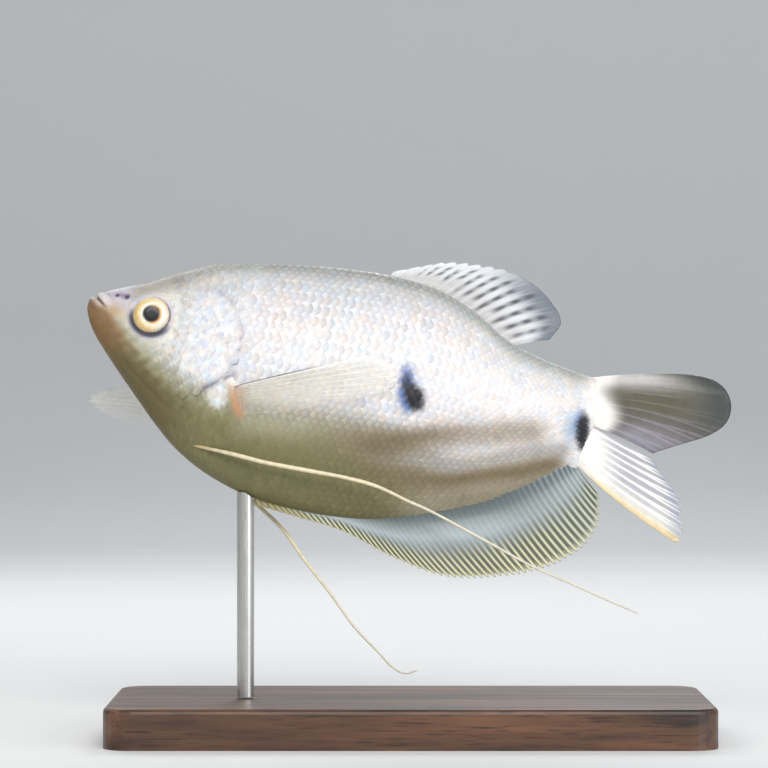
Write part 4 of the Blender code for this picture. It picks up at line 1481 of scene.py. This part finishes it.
@dataclass(frozen=True)
class AnalFin(MedianFin):
    """A long fin: plain and bluish at its root, with cream rays over dark web outside."""

    def paint(self, u: np.ndarray, v: np.ndarray) -> tuple[np.ndarray, np.ndarray]:
        """Plain inner band, striped outer band, olive-gold leading edge.

        Args:
            u: share of the way along the base.
            v: share of the way out to the margin.

        Returns:
            sRGB shares, and how solid each point looks.
        """
        wave = self.ray_wave(u, v)
        inner = rise(0.76, 0.4, v + 0.05 * np.sin(u * 9.0) + 0.02 * np.sin(u * 137.0))
        colour = over(
            coat("#4C503E", u),
            ("#D2CFAA", rise(0.25, 0.85, wave)),
            ("#8A9396", 0.92 * inner),
            ("#A3AEB6", 0.7 * hill(v - 0.42, 0.13) * rise(0.9, 0.6, u)),
            ("#5C6668", 0.9 * rise(0.32, 0.04, v)),
            ("#958A5C", 0.8 * rise(0.2, 0.05, u) * rise(0.2, 0.8, v)),
            ("#B0BCBE", 0.6 * rise(0.72, 0.95, u) * wave),
            ("#CFC7A4", 0.6 * hill(v - 0.98, 0.03)),
        )
        return colour, 0.93 + 0.07 * wave


@dataclass(frozen=True)
class TailLobe(MedianFin):
    """One lobe of the tail: white at its root and outer edge, grey between; the lower lobe is painted
    cream-white, partly painted light where it faces the light.
    """

    lit_white: bool = False

    def flesh(self, u: np.ndarray) -> np.ndarray:
        """The lobe grows out of the tail's stem, just inside its skin."""
        root_x, root_z = np.moveaxis(Curve(self.rows)(u), -1, 0)[:2]
        return np.maximum(0.1, FORM.flank(root_x, root_z) - self.root_extra)

    def paint(self, u: np.ndarray, v: np.ndarray) -> tuple[np.ndarray, np.ndarray]:
        """The lower lobe is cream-white, partly as painted light, with an orange-cream edge; the upper one is
        grey with a dusky middle.

        Args:
            u: share of the way along the base.
            v: share of the way out to the margin.

        Returns:
            sRGB shares, and how solid each point looks.
        """
        wave = self.ray_wave(u, v)
        # painted light: the lower lobe is painted near-white where it faces the light, over its own pale
        # cream
        if self.lit_white:
            gaps = rise(0.35, 0.05, wave)
            colour = over(
                coat("#E4E0DA", u),
                ("#FAF8F4", rise(0.2, 0.7, wave)),
                ("#A9A7B2", 0.75 * gaps * rise(0.2, 0.5, v) * rise(0.9, 0.6, u)),
                ("#A3ACBE", 0.5 * rise(0.85, 1.0, v)),
                ("#E8D0A0", 0.9 * rise(0.87, 0.98, u)),
                ("#F6F1EB", 0.95 * rise(0.3, 0.1, v)),
            )
            return colour, 0.94 + 0.06 * wave - 0.14 * rise(0.8, 1.0, v)
        colour = over(
            coat("#66635A", u),
            ("#9A96A4", 0.6 * rise(0.2, 0.7, wave) * rise(0.3, 0.65, u)),
            ("#9F9BAC", 0.6 * rise(0.55, 0.95, u) * rise(0.25, 0.6, v)),
            ("#5A5644", 0.8 * hill(u - 0.42, 0.17) * rise(0.1, 0.3, v) * rise(1.0, 0.5, v)),
            ("#55534A", 0.75 * hill(u - 0.72, 0.16) * (1 - 0.7 * wave) * rise(0.55, 0.2, v)),
            ("#454847", 0.85 * hill(v - 0.93, 0.16) * rise(0.7, 0.4, u)),
            ("#C9C6C6", 0.85 * rise(0.32, 0.08, u) * rise(0.92, 0.4, v)),
            ("#F6F1EB", 0.95 * rise(0.34, 0.14, v + 0.12 * np.sin(u * 5.0))),
        )
        return colour, 0.98 - 0.16 * rise(0.85, 1.0, v)


@dataclass(frozen=True)
class PectoralFin(Fin):
    """A fin fanned from a short root on the flank: rows of (share, margin x, y and z)."""

    side: Side = Side.LEFT
    sunk: float = 0.7
    arch: float = 2.2

    def middle(self, u: np.ndarray, v: np.ndarray) -> np.ndarray:
        """Middle surface, arched away from the flank.

        Args:
            u: share of the way along the base.
            v: share of the way out to the margin.

        Returns:
            Points in the fish's frame.
        """
        (x0, z0), (x1, z1) = HEAD.pectoral_root
        start = 0.2 + 0.8 * u
        x, z = x0 + (x1 - x0) * start, z0 + (z1 - z0) * start
        root = np.stack([x, self.side.value * (FORM.flank(x, z) - self.sunk), z], -1)
        v = self.reach(u, v)
        wave = 0.5 * self.ripple_height * np.sin(u * 14.0 + 3.0 * v) * v
        out = self.side.value * (self.arch * (1 - v) * (1 - np.exp(-v / 0.05)) + wave)
        points = root + (Curve(self.rows)(u) - root) * v[:, None]
        points[:, 1] += out
        return points

    def paint(self, u: np.ndarray, v: np.ndarray) -> tuple[np.ndarray, np.ndarray]:
        """Pale and clear with faint rays, reddish at the root, with a dark leading edge.

        Args:
            u: share of the way along the base.
            v: share of the way out to the margin.

        Returns:
            sRGB shares, and how solid each point looks.
        """
        wave = self.ray_wave(u, v)
        edge = rise(0.03, 0.008, u) * rise(0.75, 0.35, v)
        colour = over(
            coat("#E2DCCB", u),
            ("#FAF7F0", 0.7 * wave + 0.4 * rise(0.3, 0.9, v)),
            ("#C98A60", 0.4 * rise(0.12, 0.02, v)),
            ("#3B3A38", 0.9 * edge),
        )
        film = (0.3 + 0.14 * wave) * (1 - 0.75 * rise(0.35, 0.95, u)) * (1 - 0.3 * rise(0.6, 1.0, v))
        return colour, film + 0.6 * edge + 0.1 * rise(0.14, 0.02, v)


@dataclass(frozen=True)
class Feeler:
    """A thread-like pelvic fin: a tapering tube along a smooth route."""

    side: Side
    route: tuple[tuple[float, float, float], ...]
    radii: tuple[tuple[float, float], ...] = (
        (0.0, 0.15), (0.08, 0.28), (0.2, 0.38), (0.35, 0.37), (0.55, 0.27), (0.8, 0.2), (1.0, 0.15))
    sides: int = 14
    steps: int = 220

    def build(self, material: bpy.types.Material) -> None:
        """Wraps a grid round the route and closes its ends.

        Args:
            material: the finish.
        """
        count = len(self.route) - 1
        curve = Curve(tuple((k / count, *point) for k, point in enumerate(self.route)))
        bm, shares = flat_grid(self.steps, self.sides)
        u, turn = shares[:, 0], shares[:, 1] * 2 * math.pi
        centre = curve(u)
        along = unit(curve(np.minimum(u + 0.004, 1)) - curve(np.maximum(u - 0.004, 0)))
        across = unit(np.cross(along, (0.0, 1.0, 0.0)))
        up = np.cross(across, along)
        radius = Curve(self.radii).line(u) * (1 + 0.02 * np.sin(u * 320.0) + 0.05 * np.sin(u * 47.0))
        radius *= np.sqrt(np.clip((1 - u) / 0.012, 0, 1) * np.clip(u / 0.03, 0, 1))
        ring = across * np.cos(turn)[:, None] + up * np.sin(turn)[:, None]
        colour = over(
            coat("#D2C094", u),
            ("#EDE5CE", 0.5 + 0.1 * np.sin(u * 320.0)),
            ("#D9D4CA", 0.75 * rise(0.35, 0.8, u)),
            ("#A88A5A", 0.9 * rise(0.16, 0.03, u)),
            ("#A39264", 0.6 * rise(0.2, 0.9, np.sin(turn))),
        )
        set_places(bm, centre + ring * radius[:, None], tinted(colour, np.ones(len(u))))
        word = self.side.word
        store(f"feeler_{word}", bm, material,
              tuple(f"pelvic_feeler_{word}_{part}" for part in ("root", "middle", "tip")))


@dataclass(frozen=True)
class Eye:
    """A flattened eyeball, painted in rings: pupil, silver inner iris, gold outer iris and pale rim."""

    side: Side
    pupil: float = 1.42
    segments: int = 72

    def build(self, material: bpy.types.Material) -> None:
        """Shapes the ball, with a slight dish round the pupil.

        Args:
            material: the finish.
        """
        bm = bmesh.new()
        bmesh.ops.create_uvsphere(bm, u_segments=self.segments, v_segments=self.segments // 2, radius=1.0)
        ball = np.array([v.co[:] for v in bm.verts])
        x, z, out = ball[:, 0], ball[:, 1], ball[:, 2]
        radius = HEAD.eye_radius
        reach = np.hypot(x, z) * radius
        dish = np.where(out > 0, 0.12 * hill(reach - 2.0, 0.5), 0)
        bulge = out * HEAD.eye_depth * np.sqrt(1 + x ** 2 + z ** 2) - dish
        cx, cy, cz = HEAD.eye
        points = np.stack([cx + x * radius, self.side.value * (cy + bulge), cz + z * radius], -1)
        uneven = 0.1 * ripple(x * 3.3, z * 3.3, 0.8)
        colour = over(
            coat("#EBDDB6", x),
            ("#F4EFE4", rise(2.6, 1.8, reach + uneven - 0.35 * x)),
            ("#E0923E", 0.85 * hill(reach - self.pupil - 0.18, 0.24) * rise(-0.4, 0.5, x)),
            ("#E4C078", 0.85 * hill(reach - 2.6, 0.45) * rise(0.6, -0.6, x + 0.4 * z)),
            ("#E6E2DC", 0.7 * rise(2.0, 2.6, reach) * rise(0.1, 0.9, x - 0.3 * z)),
            # painted light: the ball's rim is painted pale to lift the shade in its seam with the socket
            ("#C4BAAA", rise(3.0, 3.28, reach)),
            ("#1C1C22", rise(self.pupil + 0.1, self.pupil - 0.1, reach + 0.2 * uneven)),
        )
        set_places(bm, points, tinted(colour, np.ones(len(x))))
        word = self.side.word
        store(f"eyeball_{word}", bm, material, (f"eye_{word}",))


@dataclass(frozen=True)
class Studio:
    """Pale floor, soft lights and the camera at the photograph's angle."""

    frame_width_mm: float = 133.8
    distance_mm: float = 600.0
    centre_x_mm: float = -4.5
    centre_z_mm: float = 61.5
    sweep_width: float = 6.0
    sweep_start: float = 2.0
    sweep_back: float = 0.6
    sweep_radius: float = 0.5
    sweep_height: float = 2.5
    sensor_mm: float = 36.0
    aim: tuple[float, float, float] = (0.0, 0.0, 0.06)
    sky: str = "#C4CAD0"
    sky_strength: float = 0.46
    lights: tuple[tuple[str, tuple[float, float, float], float, float, str], ...] = (
        ("key", (0.05, -0.78, 0.6), 0.4, 5.0, "#FFFDF8"),
        ("fill", (0.9, -0.55, 0.25), 0.6, 4.3, "#F1F5FD"),
        ("tail fill", (0.32, -0.6, 0.3), 0.25, 0.9, "#FFFFFF"),
        ("head fill", (-0.6, -0.6, 0.5), 0.4, 1.4, "#FFFCF6"),
        ("rim", (0.15, 0.5, 0.45), 0.3, 1.2, "#FFFFFF"),
        ("back fill", (-0.25, 0.4, 0.4), 0.3, 0.8, "#FFFDF8"),
    )

    def camera(self) -> None:
        """Places a level camera that looks along +Y."""
        data = bpy.data.cameras.new("camera")
        data.sensor_width = self.sensor_mm
        data.lens = self.sensor_mm * self.distance_mm / self.frame_width_mm
        data.clip_start = 0.01
        eye = link("camera", data)
        eye.location = (self.centre_x_mm * MM, -self.distance_mm * MM, self.centre_z_mm * MM)
        eye.rotation_euler = (math.pi / 2, 0.0, 0.0)
        bpy.context.scene.camera = eye

    def light(self, name: str, place: tuple[float, float, float], size: float, power: float,
              code: str) -> None:
        """Adds a square soft light that faces the fish.

        Args:
            name: the light's name.
            place: its place in metres.
            size: its edge in metres.
            power: its power in watts.
            code: its colour.
        """
        data = bpy.data.lights.new(name, "AREA")
        data.size = size
        data.energy = power
        data.color = linear(code)[:3]
        lamp = link(name, data)
        lamp.location = place
        lamp.rotation_euler = (Vector(self.aim) - Vector(place)).to_track_quat("-Z", "Y").to_euler()

    def sweep(self, share: float) -> tuple[float, float]:
        """Gives the sweep's y and z at a share of its length: floor, bend and wall.

        Args:
            share: share of the sweep's length.

        Returns:
            y and z in metres.
        """
        flat, wall = self.sweep_start + self.sweep_back, self.sweep_height
        bend = self.sweep_radius * math.pi / 2
        run = share * (flat + bend + wall)
        if run < flat:
            return run - self.sweep_start, 0.0
        turn = min((run - flat) / self.sweep_radius, math.pi / 2)
        y = self.sweep_back + self.sweep_radius * math.sin(turn)
        z = self.sweep_radius * (1 - math.cos(turn)) + max(0.0, run - flat - bend)
        return y, z

    def build(self) -> None:
        """Adds floor, lights, surrounding light and camera."""
        bm, shares = flat_grid(1, 60)
        for vert, (across, along) in zip(bm.verts, shares):
            vert.co = (self.sweep_width * (across - 0.5), *self.sweep(along))
        bmesh.ops.recalc_face_normals(bm, faces=bm.faces)
        mesh = bpy.data.meshes.new("floor")
        bm.to_mesh(mesh)
        bm.free()
        floor = link("floor", mesh)
        mesh.materials.append(StudioFloor().build())
        mesh.shade_smooth()
        world = bpy.data.worlds.new("studio")
        bpy.context.scene.world = world
        world.use_nodes = True
        sky = world.node_tree.nodes["Background"]
        sky.inputs["Color"].default_value = linear(self.sky)
        sky.inputs["Strength"].default_value = self.sky_strength
        # Colours show as they are lit, so the near-white flanks keep their contrast.
        bpy.context.scene.view_settings.view_transform = "Standard"
        for lamp in self.lights:
            self.light(*lamp)
        self.camera()


DORSAL_ROWS = (
    (0.0, 50.4, 16.2, 50.8, 17.9, 0.0),
    (0.12, 52.4, 16.1, 55.6, 20.1, 0.3),
    (0.26, 55.0, 16.0, 60.2, 22.0, 0.7),
    (0.42, 58.6, 15.5, 65.8, 22.9, 1.1),
    (0.57, 62.2, 14.4, 71.2, 22.9, 1.4),
    (0.7, 65.4, 13.0, 75.7, 21.6, 1.5),
    (0.82, 68.3, 11.5, 79.5, 19.0, 1.4),
    (0.92, 70.8, 10.0, 81.6, 16.0, 1.2),
    (1.0, 73.0, 8.9, 80.3, 12.6, 1.0),
)
ANAL_ROWS = (
    (0.0, 35.5, -25.2, 37.0, -27.9, 0.0),
    (0.1, 41.0, -25.6, 44.3, -28.3, -0.1),
    (0.23, 49.0, -25.3, 53.0, -29.0, -0.2),
    (0.35, 54.9, -24.5, 62.6, -31.5, -0.5),
    (0.47, 60.8, -23.2, 72.0, -32.6, -0.9),
    (0.61, 69.4, -20.2, 81.0, -30.4, -1.0),
    (0.745, 77.2, -16.4, 88.6, -26.8, -0.6),
    (0.855, 82.8, -12.6, 93.8, -22.0, 0.0),
    (0.935, 86.8, -9.4, 95.6, -17.0, 0.6),
    (1.0, 89.2, -7.6, 94.6, -12.0, 1.0),
)
UPPER_LOBE_ROWS = (
    (0.0, 88.6, 7.6, 106.6, 13.0, 3.1),
    (0.07, 88.7, 7.1, 110.2, 12.9, 3.3),
    (0.15, 88.8, 6.6, 112.8, 11.6, 3.4),
    (0.3, 89.0, 5.4, 114.4, 9.0, 3.8),
    (0.46, 89.0, 4.2, 114.1, 6.0, 4.2),
    (0.62, 89.0, 3.0, 111.8, 3.4, 4.5),
    (0.8, 89.0, 1.6, 107.2, 0.6, 4.6),
    (1.0, 89.0, -0.5, 102.6, -2.2, 4.2),
)
LOWER_LOBE_ROWS = (
    (0.0, 89.0, -0.2, 102.4, -3.0, 4.0),
    (0.2, 89.0, -1.6, 105.4, -6.2, 2.4),
    (0.4, 89.0, -3.2, 108.2, -9.2, 0.4),
    (0.6, 89.0, -4.6, 109.2, -12.6, -2.0),
    (0.8, 88.8, -6.0, 109.8, -15.6, -4.4),
    (1.0, 88.6, -7.4, 109.4, -18.6, -6.6),
)
LEFT_PECTORAL_ROWS = (
    (0.0, 50.5, -9.0, 1.2),
    (0.16, 54.6, -9.0, 0.6),
    (0.32, 56.2, -9.1, -1.5),
    (0.48, 55.2, -9.3, -4.0),
    (0.64, 51.4, -9.7, -6.6),
    (0.8, 45.6, -10.0, -9.2),
    (1.0, 37.6, -10.0, -12.8),
)
RIGHT_PECTORAL_ROWS = (
    (0.0, 11.6, 13.2, -9.6),
    (0.2, 6.6, 14.6, -11.2),
    (0.4, 2.9, 15.2, -13.8),
    (0.6, 5.0, 15.2, -15.6),
    (0.8, 9.4, 14.6, -16.8),
    (1.0, 14.8, 13.4, -17.4),
)
LEFT_FEELER_ROUTE = (
    (22.6, -1.6, -20.2), (24.6, -3.2, -20.6), (30.9, -6.2, -21.0), (37.0, -7.4, -21.3), (44.0, -7.9, -21.1),
    (51.0, -7.9, -20.8), (56.6, -7.6, -21.0), (62.4, -7.2, -22.2), (67.0, -7.0, -23.1), (76.5, -7.4, -25.8),
    (85.3, -7.8, -28.3), (92.8, -8.0, -29.8), (99.3, -7.8, -31.1), (105.3, -7.4, -32.1))
RIGHT_FEELER_ROUTE = (
    (24.2, 1.8, -20.2), (25.8, 3.0, -21.0), (29.4, 4.6, -23.2), (32.8, 5.0, -25.2), (37.0, 5.2, -27.1),
    (42.5, 5.4, -30.4), (47.1, 5.6, -34.5), (52.9, 5.8, -39.2), (58.0, 6.0, -43.7), (63.1, 6.2, -47.1),
    (66.3, 6.3, -49.2), (68.8, 6.2, -49.8), (70.8, 5.8, -48.7))


def build_fish() -> None:
    """Builds skin, scales, fins, feelers and eyes."""
    skin = PearlySkin("gourami skin", metal=0.05, roughness=0.46, hue_mm=2.6, rose="#FFF5EC", blue="#EEF6FF",
                      hue_share=0.5, freckle_share=0.2).build()
    scale = PearlySkin("silver scale", metal=0.06, roughness=0.42, hue_mm=1.7, rose="#FFF5EC", blue="#EEF6FF",
                       hue_share=0.6, freckle_share=0.05).build()
    web = FinWeb("fin membrane", cloud_mm=1.1, clearing=0.14).build()
    lobe = FinWeb("tail membrane", cloud_mm=1.1, clearing=0.04).build()
    thread = FinWeb("feeler skin", cloud_mm=0.8, clearing=0.0, roughness=0.42).build()
    eye = WetEye().build()
    Skin().build(skin)
    for side in Side:
        ScaleCoat(side).build(scale)
        Eye(side).build(eye)
    DorsalFin("dorsal_fin", DORSAL_ROWS, rays=16, columns_per_ray=12, notch=0.1, bow=0.03,
              smooth_rear=1.0).build(web)
    AnalFin("anal_fin", ANAL_ROWS, rays=58, notch=0.07, bow=-0.03, forks_from=0.99, ray_width=0.27,
            rays_from=0.35).build(web)
    TailLobe("tail_fin_upper", UPPER_LOBE_ROWS, rays=8, columns_per_ray=16, notch=0.0, bow=0.02,
             ray_height=0.06, root_extra=0.3, root_reach=0.3, rays_from=0.25).build(lobe)
    TailLobe("tail_fin_lower", LOWER_LOBE_ROWS, rays=8, columns_per_ray=16, notch=0.04, bow=-0.02,
             ray_height=0.1, root_extra=0.3, root_reach=0.3, rays_from=0.2, lit_white=True).build(lobe)
    for side, rows in ((Side.LEFT, LEFT_PECTORAL_ROWS), (Side.RIGHT, RIGHT_PECTORAL_ROWS)):
        PectoralFin(f"pectoral_fin_{side.word}", rows, rays=12, columns_per_ray=12, ray_width=0.09,
                    ray_height=0.08, root_extra=0.3, side=side).build(web)
    for side, route in ((Side.LEFT, LEFT_FEELER_ROUTE), (Side.RIGHT, RIGHT_FEELER_ROUTE)):
        Feeler(side, route).build(thread)


def dress_stand(nodes: dict[str, bpy.types.Object]) -> None:
    """Gives the stand's solids their finish.

    Args:
        nodes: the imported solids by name.
    """
    for name, material in (("stand_base", Walnut().build()), ("stand_rod", BrushedSteel().build())):
        for slot in nodes[name].material_slots:
            slot.material = material
        LOG.info("%s: %s", name, material.name)


def main() -> None:
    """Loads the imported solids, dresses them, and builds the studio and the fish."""
    logging.basicConfig(level=logging.INFO, format="%(name)s %(message)s")
    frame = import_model()
    Studio().build()
    dress_stand(frame["nodes"])
    build_fish()


if __name__ == "__main__":
    main()
